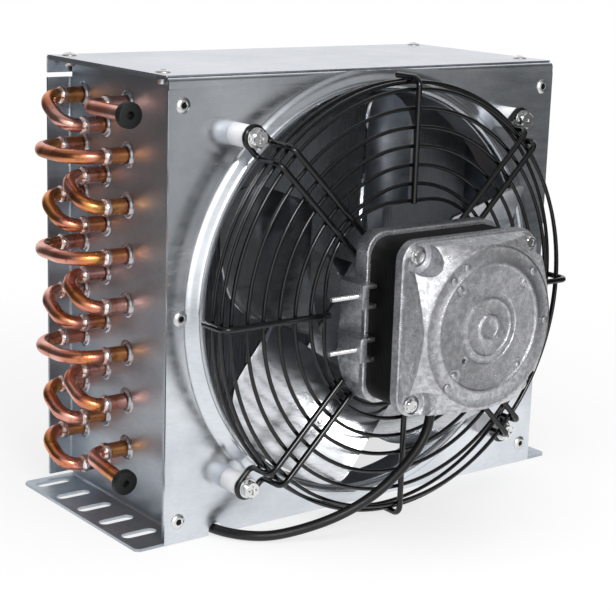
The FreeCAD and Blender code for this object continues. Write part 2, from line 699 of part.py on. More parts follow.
def motor_rear_shell():
    shell = block(MOTOR_HALF, MOTOR_CORNER, SHELL_FRONT, SHELL_BACK)
    axis = V(0, REAR_SEAT_Y, FAN_Z)
    cavity = prism(CAVITY_R, axis, V(0, -1, 0), REAR_SEAT_Y - SHELL_FRONT, CAVITY_SIDES)
    housing = prism(HOUSING_R, axis, V(0, -1, 0), BEARING_WIDTH, CAVITY_SIDES)
    seat = prism(BEARING_R + SEAT_GAP, axis, V(0, -1, 0), BEARING_WIDTH + 1, CAVITY_SIDES)
    shell = shell.cut(cavity.cut(housing))
    shell = shell.cut([seat, tube(SHAFT_R + 1, 0, REAR_SEAT_Y - 1, SHELL_BACK + 1)])
    side = -MOTOR_HALF
    base = FAN_Z - CHEEK_BELOW_AXIS
    cheek = Part.Face(Part.makePolygon([
        V(side, SHELL_FRONT, base), V(side - CHEEK_OUT, SHELL_BACK, base), V(side + 1, SHELL_BACK, base),
        V(side + 1, SHELL_FRONT, base), V(side, SHELL_FRONT, base)]))
    cheek = cheek.extrude(V(0, 0, CHEEK_ABOVE_AXIS + CHEEK_BELOW_AXIS))
    lugs = []
    for height in LUG_ABOVE_AXIS:
        z = FAN_Z + height
        low, high = z - LUG_HEIGHT / 2, z + LUG_HEIGHT / 2
        front = SHELL_BACK - LUG_DEPTH
        lug = box(side - LUG_OUT, side, front, SHELL_BACK - LUG_START, low, high)
        channel = box(side - LUG_OUT + LUG_WALL, side, front, SHELL_FRONT, low + LUG_ARM,
                      high - LUG_ARM)
        lugs.append(lug.cut([channel, prism(STUD_R, V(side - LUG_OUT - 1, front + STUD_SETBACK, z),
                                            V(1, 0, 0), LUG_OUT)]))
    shell = joined([shell, cheek] + lugs)
    gland_hole = prism(GLAND_R - 1, lead_exit() - V(0, 0, 1), V(0, 0, 1), 4)
    screws = [prism(MOUNT_SCREW_R, V(x, SHELL_BACK + 1, z), V(0, -1, 0), SHELL_WALL + 1)
              for x, z in square_spots(MOUNT_SPOT)]
    return shell.cut([gland_hole] + screws)


def stator_stack():
    stack = block(STACK_HALF, MOTOR_CORNER, STACK_FRONT, SHELL_FRONT)
    bore = prism(BORE_R, V(0, STACK_FRONT - 1, FAN_Z), V(0, 1, 0), STACK_DEPTH + 2, ROTOR_SIDES)
    return stack.cut(bore)


def stator_windings():
    pieces = []
    for y, way in ((SHELL_FRONT, 1), (STACK_FRONT, -1)):
        pieces.append(ringed(WINDING_OUT, WINDING_IN, V(0, y, FAN_Z), V(0, way, 0), WINDING_DEPTH,
                             CAVITY_SIDES))
    return Part.makeCompound(pieces)


def bearing(seat, way):
    ring = prism(BEARING_R, V(0, seat, FAN_Z), V(0, way, 0), BEARING_WIDTH, CAVITY_SIDES)
    ends = sorted((seat - way, seat + way * (BEARING_WIDTH + 1)))
    return ring.cut(tube(SHAFT_R + RUNNING_GAP, 0, *ends))


def rotor():
    start = STACK_FRONT - ROTOR_OVERHANG
    length = STACK_DEPTH + 2 * ROTOR_OVERHANG
    core = prism(ROTOR_R, V(0, start, FAN_Z), V(0, 1, 0), length, ROTOR_SIDES)
    return core.cut(tube(SHAFT_R, 0, start - 1, start + length + 1))


def motor_shaft():
    return tube(SHAFT_R, 0, FRONT_SEAT_Y, HUB_BACK + FAN_NUT_T + 2)


def motor_front_cover():
    """Square skirt, and a dome that rises from its corners to a round stepped face."""
    skirt = block(MOTOR_HALF, MOTOR_CORNER, SKIRT_FRONT, STACK_FRONT)
    dome = [(0, FACE_Y), (DISC_R - DISC_RIM, FACE_Y), (DISC_R, FACE_Y + DISC_RIM),
            (DOME_R, SKIRT_FRONT + 1), (0, SKIRT_FRONT + 1)]
    raised = block(COVER_HALF, MOTOR_CORNER - 1, FACE_Y - 1, SKIRT_FRONT + 1).common(turned(dome))
    cover = joined([skirt, raised])
    step = tube(FACE_STEP_R, 0, FACE_Y - 1, FACE_Y + FACE_STEP)
    pockets = [Part.makeCylinder(POCKET_R, COVER_DEPTH + 1, V(x, SKIRT_FRONT, z), V(0, -1, 0))
               for x, z in square_spots(SCREW_SPOT)]
    axis = V(0, FRONT_SEAT_Y, FAN_Z)
    cavity = prism(CAVITY_R, axis, V(0, 1, 0), STACK_FRONT - FRONT_SEAT_Y, CAVITY_SIDES)
    housing = prism(HOUSING_R, axis, V(0, 1, 0), BEARING_WIDTH, CAVITY_SIDES)
    seat = prism(BEARING_R + SEAT_GAP, axis, V(0, 1, 0), BEARING_WIDTH + 1, CAVITY_SIDES)
    return cover.cut([step] + pockets).cut(cavity.cut(housing)).cut(seat)


def cover_screws():
    pieces = []
    for x, z in square_spots(SCREW_SPOT):
        pieces.append(prism(COVER_SCREW_FLATS / 2, V(x, SKIRT_FRONT, z), V(0, -1, 0), COVER_SCREW_T,
                            6))
    return Part.makeCompound(pieces)


def terminal_studs():
    pieces = []
    wall = -MOTOR_HALF - LUG_OUT + LUG_WALL
    for height in LUG_ABOVE_AXIS:
        seat = V(wall, SHELL_BACK - LUG_DEPTH + STUD_SETBACK, FAN_Z + height)
        pieces.append(joined([prism(STUD_HEAD_R, seat, V(1, 0, 0), STUD_HEAD_T),
                              prism(STUD_R, seat, V(-1, 0, 0), LUG_WALL + STUD_LENGTH)]))
    return Part.makeCompound(pieces)


def motor_washers():
    seat = RIB_PLANE + RIB_R
    return Part.makeCompound([ringed(WASHER_R, MOUNT_SCREW_R, V(x, seat, z), V(0, 1, 0), WASHER_T)
                              for x, z in square_spots(MOUNT_SPOT)])


def motor_screws():
    seat = RIB_PLANE + RIB_R + WASHER_T
    reach = seat - SHELL_BACK + SHELL_WALL - 1
    pieces = []
    for x, z in square_spots(MOUNT_SPOT):
        pieces.append(joined([prism(MOUNT_HEAD_R, V(x, seat, z), V(0, 1, 0), MOUNT_HEAD_T),
                              prism(MOUNT_SCREW_R, V(x, seat, z), V(0, -1, 0), reach)]))
    return Part.makeCompound(pieces)


def blade_frame():
    """Centre and radius of the arc that the blade's section follows, across and along the axis."""
    (x0, y0), (x1, y1) = BLADE_TRAILING, BLADE_LEADING
    chord = math.hypot(x1 - x0, y1 - y0)
    radius = chord ** 2 / (8 * BLADE_CAMBER) + BLADE_CAMBER / 2
    normal = V(-(y1 - y0), x1 - x0, 0).normalize()
    middle = V((x0 + x1) / 2, (y0 + y1) / 2, 0)
    return middle - normal * (radius - BLADE_CAMBER), radius, normal


def curved_sheet(start, thickness, inner, outer, half_angle):
    """Sheet curved like a blade, upright over the fan's axis."""
    centre, radius, normal = blade_frame()
    edges = []
    ends = []
    for reach in (radius + start, radius + start + thickness):
        points = []
        for turn in (-half_angle, 0, half_angle):
            way = FreeCAD.Rotation(V(0, 0, 1), turn).multVec(normal)
            points.append(V(centre.x + way.x * reach, centre.y + way.y * reach, FAN_Z + inner))
        edges.append(Part.Arc(*points).toShape())
        ends.append((points[0], points[2]))
    edges += [Part.LineSegment(ends[0][k], ends[1][k]).toShape() for k in (0, 1)]
    face = Part.Face(Part.Wire(Part.__sortEdges__(edges)))
    return face.extrude(V(0, 0, outer - inner))


def on_blade(shape, index):
    angle = BLADE_FIRST + 360.0 / BLADE_COUNT * index
    placed = shape.copy()
    placed.rotate(V(0, 0, FAN_Z), V(0, 1, 0), 90.0 - angle)
    return placed


def fan_blade(index):
    """Pressed blade: a curved sheet cut to its outline, with its tip corners rounded."""
    sheet = curved_sheet(0, BLADE_T, BLADE_ROOT_R, BLADE_R + 2, 20.0)
    low, high = BLADE_TRAILING[0], BLADE_LEADING[0]
    y0, y1 = BLADE_TRAILING[1] - 10, BLADE_LEADING[1] + 10
    outline = box(low, high, y0, y1, FAN_Z + BLADE_ROOT_R, FAN_Z + BLADE_R + 2)
    outline = outline.common(tube(BLADE_R, 0, y0, y1))
    for x, radius in ((low, TRAILING_CORNER), (high, LEADING_CORNER)):
        corner = [e for e in outline.Edges if abs(e.CenterOfMass.x - x) < 1e-6
                  and e.CenterOfMass.z > FAN_Z + 0.8 * BLADE_R
                  and abs(e.tangentAt(e.FirstParameter).y) > 0.9]
        outline = outline.makeFillet(radius, corner)
    return on_blade(sheet.common(outline), index)


def fan_hub():
    """Boss with five arms that follow the backs of the blades."""
    arm = curved_sheet(BLADE_T, ARM_T, 0, ARM_REACH, 12.0)
    bounds = box(-ARM_HALF, ARM_HALF, HUB_FRONT - 20, HUB_BACK + 20, FAN_Z + SHAFT_R,
                 FAN_Z + ARM_REACH)
    arm = arm.common(bounds)
    parts = [tube(HUB_R, SHAFT_R, HUB_FRONT, HUB_BACK)]
    parts += [on_blade(arm, k) for k in range(BLADE_COUNT)]
    return joined(parts).cut(tube(SHAFT_R, 0, HUB_FRONT - 20, HUB_BACK + 20))


def fan_nut():
    start = V(0, HUB_BACK, FAN_Z)
    nut = prism(FAN_NUT_FLATS / 2, start, V(0, 1, 0), FAN_NUT_T, 6)
    return nut.cut(tube(SHAFT_R, 0, HUB_BACK - 1, HUB_BACK + FAN_NUT_T + 1))


def cord_points():
    """The lead's route, fitted to the motor's height and to the casing's width and front."""
    gland_end = FAN_Z - MOTOR_HALF - GLAND_LENGTH
    rise = (gland_end - CORD_FLOOR) / (CORD_ROUTE[0][2] - CORD_FLOOR)
    across = CASE_WIDTH / ROUTE_WIDTH
    forward = CASE_FRONT - ROUTE_FRONT
    return [V(x * across, y - forward, CORD_FLOOR + (z - CORD_FLOOR) * rise)
            for x, y, z in CORD_ROUTE]


def lead_exit():
    """Where the lead leaves the motor's underside."""
    return cord_points()[0] + V(0, 0, GLAND_LENGTH)


def cable_gland():
    place = lead_exit()
    sleeve = prism(GLAND_R, place, V(0, 0, -1), GLAND_LENGTH)
    neck = prism(GLAND_R - 1, place, V(0, 0, 1), 3)
    return joined([sleeve, neck])


def power_cord():
    """Round lead on straight runs joined by tangent arcs."""
    points = cord_points()
    runs = [(b - a).Length for a, b in zip(points, points[1:])]
    edges = []
    last = points[0]
    radii = []
    for i in range(1, len(points) - 1):
        before = (points[i - 1] - points[i]).normalize()
        after = (points[i + 1] - points[i]).normalize()
        half_turn = (math.pi - before.getAngle(after)) / 2
        reach = CORD_BEND_SHARE * min(runs[i - 1], runs[i])
        radius = reach / math.tan(half_turn)
        radii.append(radius)
        inward = (before + after).normalize()
        start = points[i] + before * reach
        end = points[i] + after * reach
        middle = points[i] + inward * (radius / math.cos(half_turn) - radius)
        edges.append(Part.LineSegment(last, start).toShape())
        edges.append(Part.Arc(start, middle, end).toShape())
        last = end
    edges.append(Part.LineSegment(last, points[-1]).toShape())
    path = Part.Wire(edges)
    first_way = (points[1] - points[0]).normalize()
    side = first_way.cross(V(0, 1, 0)).normalize()
    other = first_way.cross(side)
    ring = [points[0] + side * a + other * b for a, b in polygon_offsets(CORD_R, TUBE_SIDES)]
    section = Part.makePolygon(ring + ring[:1])
    solid = path.makePipeShell([section], True, False)
    area = Part.Face(section).Area
    print("cord radii", [round(r) for r in radii], "length", round(path.Length, 1))
    print("cord volume over section times length", round(solid.Volume / area / path.Length, 4))
    return solid


def cord_cores():
    """The three bared cores at the lead's free end."""
    points = cord_points()[-2:]
    way = (points[1] - points[0]).normalize()
    side = way.cross(V(0, 0, 1))
    pieces = []
    for k in range(3):
        turn = math.radians(90 + 120 * k)
        offset = side * (math.cos(turn) * CORD_R / 2) + V(0, 0, math.sin(turn) * CORD_R / 2)
        pieces.append(prism(CORE_R, points[1] + offset, way, CORE_LENGTH, TUBE_SIDES))
    return Part.makeCompound(pieces)


def all_nodes():
    inlet = (0, INLET_OUT, pipe_end(0, INLET_ASIDE, INLET_FORWARD, INLET_DROP))
    low = LEVELS - 1
    outlet = (low, OUTLET_OUT, pipe_end(low, OUTLET_ASIDE, OUTLET_FORWARD, OUTLET_DROP))
    nodes = {
        "front_shroud": front_shroud(),
        "top_panel": top_panel(),
        "left_tube_sheet": tube_sheet(-1),
        "right_tube_sheet": tube_sheet(1),
        "fins": fins(),
        "hairpin_tubes": hairpin_tubes(),
        "inlet_pipe": connection_pipe(*inlet),
        "inlet_cap": pipe_cap(*inlet),
        "outlet_pipe": connection_pipe(*outlet),
        "outlet_cap": pipe_cap(*outlet),
        "front_rivets": front_rivets(),
        "top_rivets": top_rivets(),
        "guard_rings": guard_rings(),
        "guard_single_ribs": guard_single_ribs(),
        "guard_double_ribs": guard_double_ribs(),
        "guard_spacers": per_bolt(guard_spacer),
        "guard_washers": per_bolt(guard_washer),
        "guard_bolts": per_bolt(guard_bolt),
        "guard_nuts": per_bolt(guard_nut),
        "motor_rear_shell": motor_rear_shell(),
        "stator_stack": stator_stack(),
        "stator_windings": stator_windings(),
        "rear_bearing": bearing(REAR_SEAT_Y, -1),
        "front_bearing": bearing(FRONT_SEAT_Y, 1),
        "rotor": rotor(),
        "motor_shaft": motor_shaft(),
        "motor_front_cover": motor_front_cover(),
        "cover_screws": cover_screws(),
        "terminal_studs": terminal_studs(),
        "motor_washers": motor_washers(),
        "motor_screws": motor_screws(),
        "fan_hub": fan_hub(),
        "fan_nut": fan_nut(),
        "cable_gland": cable_gland(),
        "power_cord": power_cord(),
        "cord_cores": cord_cores(),
    }
    for k, pair in enumerate(narrow_pairs()):
        nodes["return_bend_%d" % (k + 1)] = return_bend(pair, NARROW_REACH)
    for k, pair in enumerate(wide_pairs()):
        nodes["crossover_bend_%d" % (k + 1)] = return_bend(pair, WIDE_REACH)
    for k in range(BLADE_COUNT):
        nodes["fan_blade_%d" % (k + 1)] = fan_blade(k)
    return nodes


os.makedirs("parts", exist_ok=True)
for name, shape in all_nodes().items():
    shape.exportStep("parts/%s.step" % name)
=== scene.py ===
import json
import math

import bpy
import bmesh
from mathutils import Matrix, Vector
from mathutils.geometry import delaunay_2d_cdt


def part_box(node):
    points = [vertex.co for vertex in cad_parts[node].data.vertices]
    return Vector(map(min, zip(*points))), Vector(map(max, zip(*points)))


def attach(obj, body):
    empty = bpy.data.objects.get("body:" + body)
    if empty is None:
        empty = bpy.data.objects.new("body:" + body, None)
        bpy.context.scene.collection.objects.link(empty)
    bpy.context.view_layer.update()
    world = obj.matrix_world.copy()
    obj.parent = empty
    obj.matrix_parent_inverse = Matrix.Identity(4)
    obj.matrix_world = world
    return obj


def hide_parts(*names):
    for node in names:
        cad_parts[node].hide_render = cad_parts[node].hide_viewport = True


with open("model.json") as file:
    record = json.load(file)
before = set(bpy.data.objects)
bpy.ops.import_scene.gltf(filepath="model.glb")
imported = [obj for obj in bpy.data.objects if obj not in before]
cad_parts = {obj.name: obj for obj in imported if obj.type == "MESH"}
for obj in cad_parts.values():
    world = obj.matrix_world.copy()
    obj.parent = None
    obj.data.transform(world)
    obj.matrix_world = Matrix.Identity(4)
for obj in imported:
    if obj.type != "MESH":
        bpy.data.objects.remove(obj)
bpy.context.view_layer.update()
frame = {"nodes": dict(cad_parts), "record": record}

# Lengths are in millimetres here, and become metres when a mesh is made. The fan looks along +Y to the fins.
MM = 0.001
TO_FRONT = (0, -1, 0)
TO_BACK = (0, 1, 0)
UP = (0, 0, 1)


def reach(node):
    """Lowest and highest corner of a CAD node, in millimetres."""
    low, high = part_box(node)
    return low / MM, high / MM


# Casing, read from the frame
TOP_HIGH = reach("top_panel")[1]
FINS_LOW, FINS_HIGH = reach("fins")
SHAFT_LOW, SHAFT_HIGH = reach("motor_shaft")
STACK_LOW, STACK_HIGH = reach("stator_stack")
CASE_HALF = TOP_HIGH.x
CASE_HEIGHT = TOP_HIGH.z
CASE_BACK = TOP_HIGH.y
AXIS_Z = (SHAFT_LOW.z + SHAFT_HIGH.z) / 2
PANEL_T = 1
SHEET_T = 1.5
FRONT_Y = reach("left_tube_sheet")[0].y - PANEL_T
WEB_INSET = 13
WEB_X = CASE_HALF - WEB_INSET

# Front panel
PANEL_BEND = 2.5
PANEL_TOP_DEPTH = 11
PANEL_LIFT = reach("front_shroud")[0].z
NOTCH_X = 29.6 - CASE_HALF
NOTCH_HALF = 4
NOTCH_TOP = 6.4
NOTCH_CORNER = 3.4
OPENING_R = CASE_HEIGHT / 2 - 10
COLLAR_R = OPENING_R - 1.2
BEAD_HEIGHT = 4.4
BEAD_SLOPE = 46
BEAD_FILLET = 5.6
BEAD_CREST_R = 3.6
CREASE_DROP = 6.5
CREASE_SET = 0.25
LIP_DEPTH = 14
ROUND_STEPS = 192

# Rivets, as distances from the panels' edges
FRONT_RIVET_INSET = 7.5
FRONT_RIVET_LEVELS = (11.5, AXIS_Z - 0.5, CASE_HEIGHT - 13.5)
TOP_RIVET_INSET = 8
TOP_RIVET_ROWS = (FRONT_Y + 18, CASE_BACK - 9)

# Coil
TUBE_R = 3.5
BELL_R = 4
PIPE_R = 3.5
LEVELS = 8
TUBE_PITCH = (CASE_HEIGHT - 26) / LEVELS
TOP_TUBE_Z = CASE_HEIGHT - 19.1
ROW_PITCH = 21.65
ROW_FRONT_Y = CASE_BACK - 57.6
BELL_LENGTH = 13
NARROW_REACH = 10.4
WIDE_REACH = 17.3
LEG_LENGTH = 0.8
HAIRPIN_STRAIGHT = 3
ELBOW_R = 8
INLET = {"level": 0, "out": 23.4, "end": Vector((-CASE_HALF - 10.4, ROW_FRONT_Y - 41.7, TOP_TUBE_Z))}
LOW_TUBE_Z = TOP_TUBE_Z - (LEVELS - 1) * TUBE_PITCH
OUTLET = {"level": LEVELS - 1, "out": 21.75,
          "end": Vector((-CASE_HALF - 8.75, ROW_FRONT_Y - 36.9, LOW_TUBE_Z - 4.3))}
CAP_R = 6.3
CAP_LENGTH = 4.5

# Guard
SPACER_LENGTH = 13
SPACER_R = 5.5
RIB_R = 1.5
RING_R = 1
RIB_DEPTH = 16.5
RIB_PLANE = FRONT_Y - SPACER_LENGTH - RIB_R - RIB_DEPTH
LOOP_PLANE = RIB_PLANE + RIB_DEPTH
RING_PLANE = RIB_PLANE + RIB_R + RING_R
RIB_REACH = OPENING_R + 8
RIB_PAIR = 10
RIB_INNER = 31
RIB_BEND = 4.5
LOOP_BEND = 3
RING_OUTER = RIB_REACH - 5.5
RING_INNER = 59.5
RING_COUNT = 6
SIDE_RING_SETBACKS = (6, 12.5)
INNER_LOOP_HALF = 51
INNER_LOOP_CORNER = 40
BOLT_REACH = OPENING_R + 17.2
BOLT_SPOT = BOLT_REACH / math.sqrt(2)
BOLT_HOLE_R = 2.6
BOLT_FLATS = 8
BOLT_PITCH = 0.4
BOLT_PAST_PANEL = 5
WASHER_T = 1

# Motor
MOTOR_HALF = 42
MOTOR_CORNER = 10
SHELL_BACK = RIB_PLANE - RIB_R
SHELL_FRONT = STACK_HIGH.y
STACK_FRONT = STACK_LOW.y
SKIRT_FRONT = STACK_FRONT - 5.5
FACE_Y = reach("motor_front_cover")[0].y - 1.2
SCREW_SPOT = 35.5
POCKET_R = 8

# Lead: the cord's sizes and its route's points are in metres
CORD_DIAMETER = 0.005
CORE_R = 0.8
CORE_ASIDE = 1.25
CORE_LENGTH = 14
CORD_ROUTE = (
    (0.0095, -0.103, 0.065), (0.0095, -0.103, 0.057), (0.0072, -0.1035, 0.049),
    (0.0024, -0.1042, 0.0418), (-0.0052, -0.1049, 0.0352), (-0.015, -0.1052, 0.0282),
    (-0.025, -0.1044, 0.0216), (-0.037, -0.1022, 0.0156), (-0.0495, -0.0982, 0.0104),
    (-0.062, -0.091, 0.0056), (-0.0745, -0.0848, 0.003), (-0.0845, -0.078, 0.003),
    (-0.0912, -0.0672, 0.003), (-0.0938, -0.054, 0.003), (-0.095, -0.038, 0.003),
    (-0.0945, -0.02, 0.003), (-0.086, -0.001, 0.003), (-0.069, 0.0145, 0.003),
    (-0.045, 0.022, 0.003), (-0.017, 0.021, 0.003), (0.011, 0.0145, 0.003),
    (0.038, 0.013, 0.003), (0.062, 0.021, 0.003),
)

# Camera: where the photograph was taken from, in metres and degrees
CAMERA_PLACE = (-0.5236, -0.6909, 0.3004)
CAMERA_AZIMUTH = -37.625
CAMERA_ELEVATION = 13.585
CAMERA_ROLL = 1.844
FOCAL_PIXELS = 1644.6
FRAME_PIXELS = 616
SENSOR_WIDTH = 36


def add_object(name, data):
    made = bpy.data.objects.new(name, data)
    bpy.context.scene.collection.objects.link(made)
    return made


def make_camera():
    data = bpy.data.cameras.new("camera")
    data.sensor_width = SENSOR_WIDTH
    data.lens = FOCAL_PIXELS / FRAME_PIXELS * SENSOR_WIDTH
    data.clip_start = 0.01
    data.clip_end = 100
    camera = add_object("camera", data)
    camera.matrix_world = Matrix.Translation(CAMERA_PLACE)
    for degrees, axis in ((CAMERA_AZIMUTH, "Z"), (90 - CAMERA_ELEVATION, "X"), (CAMERA_ROLL, "Z")):
        camera.matrix_world @= Matrix.Rotation(math.radians(degrees), 4, axis)
    bpy.context.scene.camera = camera


# Materials
def new_material(name):
    material = bpy.data.materials.new(name)
    material.use_nodes = True
    tree = material.node_tree
    return material, tree, tree.nodes["Principled BSDF"]


def add_node(tree, kind, **values):
    """Shader node with its settings and its inputs' values."""
    made = tree.nodes.new("ShaderNode" + kind)
    for key, value in values.items():
        if key in made.inputs:
            made.inputs[key].default_value = value
        else:
            setattr(made, key, value)
    return made


def feed(node, **values):
    """Gives sockets a number, a colour or an output; an underscore in a key stands for a space."""
    for key, value in values.items():
        give(node.inputs[key.replace("_", " ")], value)


def give(socket, value):
    if isinstance(value, (int, float)):
        socket.default_value = value
    elif isinstance(value, tuple):
        socket.default_value = (*value, 1)
    else:
        socket.id_data.links.new(value, socket)


def object_place(tree):
    return add_node(tree, "TexCoord").outputs["Object"]


def noise(tree, scale, detail=4, stretch=(1, 1, 1), roughness=0.55):
    """Noise in the object's own coordinates, stretched along its axes."""
    mapping = add_node(tree, "Mapping", Scale=stretch)
    texture = add_node(tree, "TexNoise", Scale=scale, Detail=detail, Roughness=roughness)
    feed(mapping, Vector=object_place(tree))
    feed(texture, Vector=mapping.outputs["Vector"])
    return texture.outputs["Fac"]


def ramp(source, stops):
    """Colour ramp; stops are (position, colour or grey level)."""
    made = add_node(source.id_data, "ValToRGB")
    elements = made.color_ramp.elements
    while len(elements) < len(stops):
        elements.new(0.5)
    for element, (position, colour) in zip(elements, stops):
        element.position = position
        grey = isinstance(colour, (int, float))
        element.color = (colour, colour, colour, 1) if grey else (*colour, 1)
    feed(made, Fac=source)
    return made.outputs["Color"]


def blend_colours(factor, first, second, mode="MIX"):
    """Mix of two colours; each is an output or a colour, and so is the factor."""
    made = add_node(first.id_data, "Mix", data_type="RGBA", blend_type=mode)
    for socket, value in ((made.inputs[0], factor), (made.inputs[6], first), (made.inputs[7], second)):
        give(socket, value)
    return made.outputs[2]


def multiply(first, second):
    return blend_colours(1, first, second, "MULTIPLY")


def add_bump(shader, height, strength, distance):
    bump = add_node(shader.id_data, "Bump", Strength=strength, Distance=distance)
    feed(bump, Height=height)
    feed(shader, Normal=bump.outputs["Normal"])


def rolled_sheet(name, dark, light, smooth, rough, grain=(1, 1, 1), relief=0.12, metal=1, streak=0.82):
    """Zinc-coated or bare sheet: cloudy patches, fine rolling lines, and uneven gloss."""
    material, tree, shader = new_material(name)
    lines = noise(tree, 240, 3, grain)
    patches = ramp(noise(tree, 18, 5), ((0.3, dark), (0.7, light)))
    shade = ramp(lines, ((0.3, streak), (0.7, 1)))
    gloss = ramp(noise(tree, 60, 6, grain), ((0.3, smooth), (0.7, rough)))
    feed(shader, Base_Color=multiply(patches, shade), Roughness=gloss, Metallic=metal)
    add_bump(shader, lines, relief, 0.0002)
    return material


def cast_metal(name, dark, light, rough, grain_size):
    """Die-cast aluminium: a pebbled, sparkling skin, cloudy patches and small dark pits."""
    material, tree, shader = new_material(name)
    skin = noise(tree, grain_size, 6, roughness=0.7)
    lumps = noise(tree, grain_size / 4, 4)
    colour = ramp(noise(tree, 45, 5, roughness=0.6), ((0.3, dark), (0.7, light)))
    pits = ramp(skin, ((0.33, 0.5), (0.44, 1)))
    grain = ramp(lumps, ((0.38, 0.66), (0.6, 1)))
    gloss = ramp(lumps, ((0.3, rough + 0.14), (0.7, rough - 0.1)))
    colour = multiply(colour, multiply(pits, grain))
    feed(shader, Base_Color=colour, Roughness=gloss, Metallic=1)
    add_bump(shader, blend_colours(0.3, skin, lumps), 0.6, 0.0006)
    return material


# Colours of copper and of brazing alloy, as (place on the ramp, colour)
BARE_COPPER = ((0.36, (0.72, 0.31, 0.10)), (0.46, (0.63, 0.23, 0.11)), (0.52, (0.67, 0.26, 0.19)),
               (0.64, (0.82, 0.45, 0.37)))
SCORCHED_COPPER = ((0.34, (0.05, 0.025, 0.01)), (0.46, (0.25, 0.09, 0.025)), (0.58, (0.48, 0.17, 0.05)),
                   (0.72, (0.62, 0.29, 0.10)))
ALLOY = ((0.3, (0.20, 0.10, 0.06)), (0.42, (0.62, 0.44, 0.38)), (0.55, (0.84, 0.70, 0.68)),
         (0.7, (0.95, 0.90, 0.91)))


def copper_metal(name):
    """Bare copper in gold, orange and pink, scorched dark where a piece's heat value is high."""
    material, tree, shader = new_material(name)
    heat = add_node(tree, "Attribute", attribute_name="heat")
    cloud = noise(tree, 70, 5, roughness=0.65)
    bare = ramp(noise(tree, 38, 2), BARE_COPPER)
    edge = blend_colours(0.4, heat.outputs["Fac"], cloud)
    scorch = ramp(edge, ((0.24, 0), (0.52, 1)))
    colour = blend_colours(scorch, bare, ramp(cloud, SCORCHED_COPPER))
    specks = ramp(noise(tree, 150, 4, roughness=0.6), ((0.34, 0.55), (0.46, 1)))
    gloss = ramp(cloud, ((0.3, 0.36), (0.7, 0.2)))
    feed(shader, Base_Color=multiply(colour, specks), Roughness=gloss, Metallic=1)
    add_bump(shader, noise(tree, 260, 3), 0.12, 0.0003)
    return material


def coated(name, colour, rough, coat, grain_size=700, bump=0.08, shine=0.5):
    """Paint, rubber or plastic: even colour with a fine skin."""
    material, tree, shader = new_material(name)
    skin = noise(tree, grain_size, 3)
    darker = tuple(c * 0.8 for c in colour)
    patches = ramp(noise(tree, 60), ((0.3, darker), (0.7, colour)))
    gloss = ramp(skin, ((0.3, rough + 0.06), (0.7, rough - 0.04)))
    feed(shader, Base_Color=patches, Roughness=gloss, Specular_IOR_Level=shine, Coat_Weight=coat,
         Coat_Roughness=0.1)
    add_bump(shader, skin, bump, 0.0002)
    return material


def laminated(name):
    """Black varnished stack: thin sheets whose edges run round the motor."""
    material, tree, shader = new_material(name)
    bands = add_node(tree, "TexWave", bands_direction="Y", Scale=320, Distortion=0.6, Detail=2)
    feed(bands, Vector=object_place(tree))
    colour = ramp(bands.outputs["Fac"], ((0.2, 0.001), (0.9, 0.004)))
    feed(shader, Base_Color=colour, Roughness=0.45, Specular_IOR_Level=0.15)
    add_bump(shader, bands.outputs["Fac"], 0.3, 0.0003)
    return material


def solder_metal(name):
    """Brazing alloy: silvery, lumpy, with copper showing through."""
    material, tree, shader = new_material(name)
    feed(shader, Base_Color=ramp(noise(tree, 220, 4), ALLOY), Metallic=1, Roughness=0.26)
    add_bump(shader, noise(tree, 400, 4), 0.5, 0.0005)
    return material


def make_materials():
    """Materials by slot; what follows a maker and a slot is what that maker takes."""
    plain = (1, 1, 1)
    rows = (
        (rolled_sheet, "front_sheet", (0.56, 0.60, 0.65), (0.84, 0.875, 0.92), 0.18, 0.28, (1, 1, 5), 0.03,
         1, 0.93),
        (rolled_sheet, "top_sheet", (0.54, 0.575, 0.64), (0.68, 0.71, 0.78), 0.24, 0.34, (1, 12, 1)),
        (rolled_sheet, "tube_sheets", (0.36, 0.405, 0.455), (0.53, 0.575, 0.625), 0.37, 0.47, (1, 1, 8), 0.05,
         0.95, 0.86),
        (rolled_sheet, "fins", (0.42, 0.45, 0.48), (0.6, 0.63, 0.66), 0.35, 0.5, plain, 0.12, 0.35),
        (rolled_sheet, "fan_sheet", (0.44, 0.455, 0.48), (0.64, 0.655, 0.68), 0.14, 0.24, (1, 1, 6), 0.03),
        (rolled_sheet, "bearing_steel", 0.45, 0.6, 0.2, 0.3),
        (rolled_sheet, "zinc_hardware", 0.72, 0.9, 0.12, 0.25),
        (rolled_sheet, "rivets", 0.7, 0.85, 0.2, 0.35),
        # Collars: the tube sheets' metal made lighter, as painted highlight
        (rolled_sheet, "collar", (0.46, 0.48, 0.52), (0.6, 0.62, 0.66), 0.22, 0.3, plain, 0.02),
        (solder_metal, "brazing"),
        (cast_metal, "cast_shell", (0.54, 0.545, 0.57), (0.72, 0.72, 0.75), 0.32, 1500),
        (coated, "guard_wire", (0.002, 0.002, 0.0024), 0.13, 0),
        (coated, "spacer_plastic", (0.82, 0.82, 0.84), 0.4, 0.1, 300, 0.03),
        (coated, "cap_rubber", (0.010, 0.011, 0.011), 0.55, 0, 500, 0.2, 0.3),
        (coated, "cord_jacket", (0.007, 0.007, 0.008), 0.4, 0, 900, 0.1, 0.4),
        (laminated, "lamination"),
    )
    materials = {row[1]: row[0](*row[1:]) for row in rows}
    for slot in ("copper_tube", "winding"):
        materials[slot] = copper_metal("copper")
    return materials


MATERIALS = make_materials()
SLOT_MATERIALS = {"gland_rubber": "cap_rubber", "cord_core": "copper_tube"}


# Mesh building. A turned profile that meets its axis keeps this radius there.
THIN = 0.01


def arc(middle, r, start, end, steps):
    """Points of an arc in a plane, between two angles in degrees."""
    angles = [math.radians(start + (end - start) * k / steps) for k in range(steps + 1)]
    return [(middle[0] + r * math.cos(a), middle[1] + r * math.sin(a)) for a in angles]


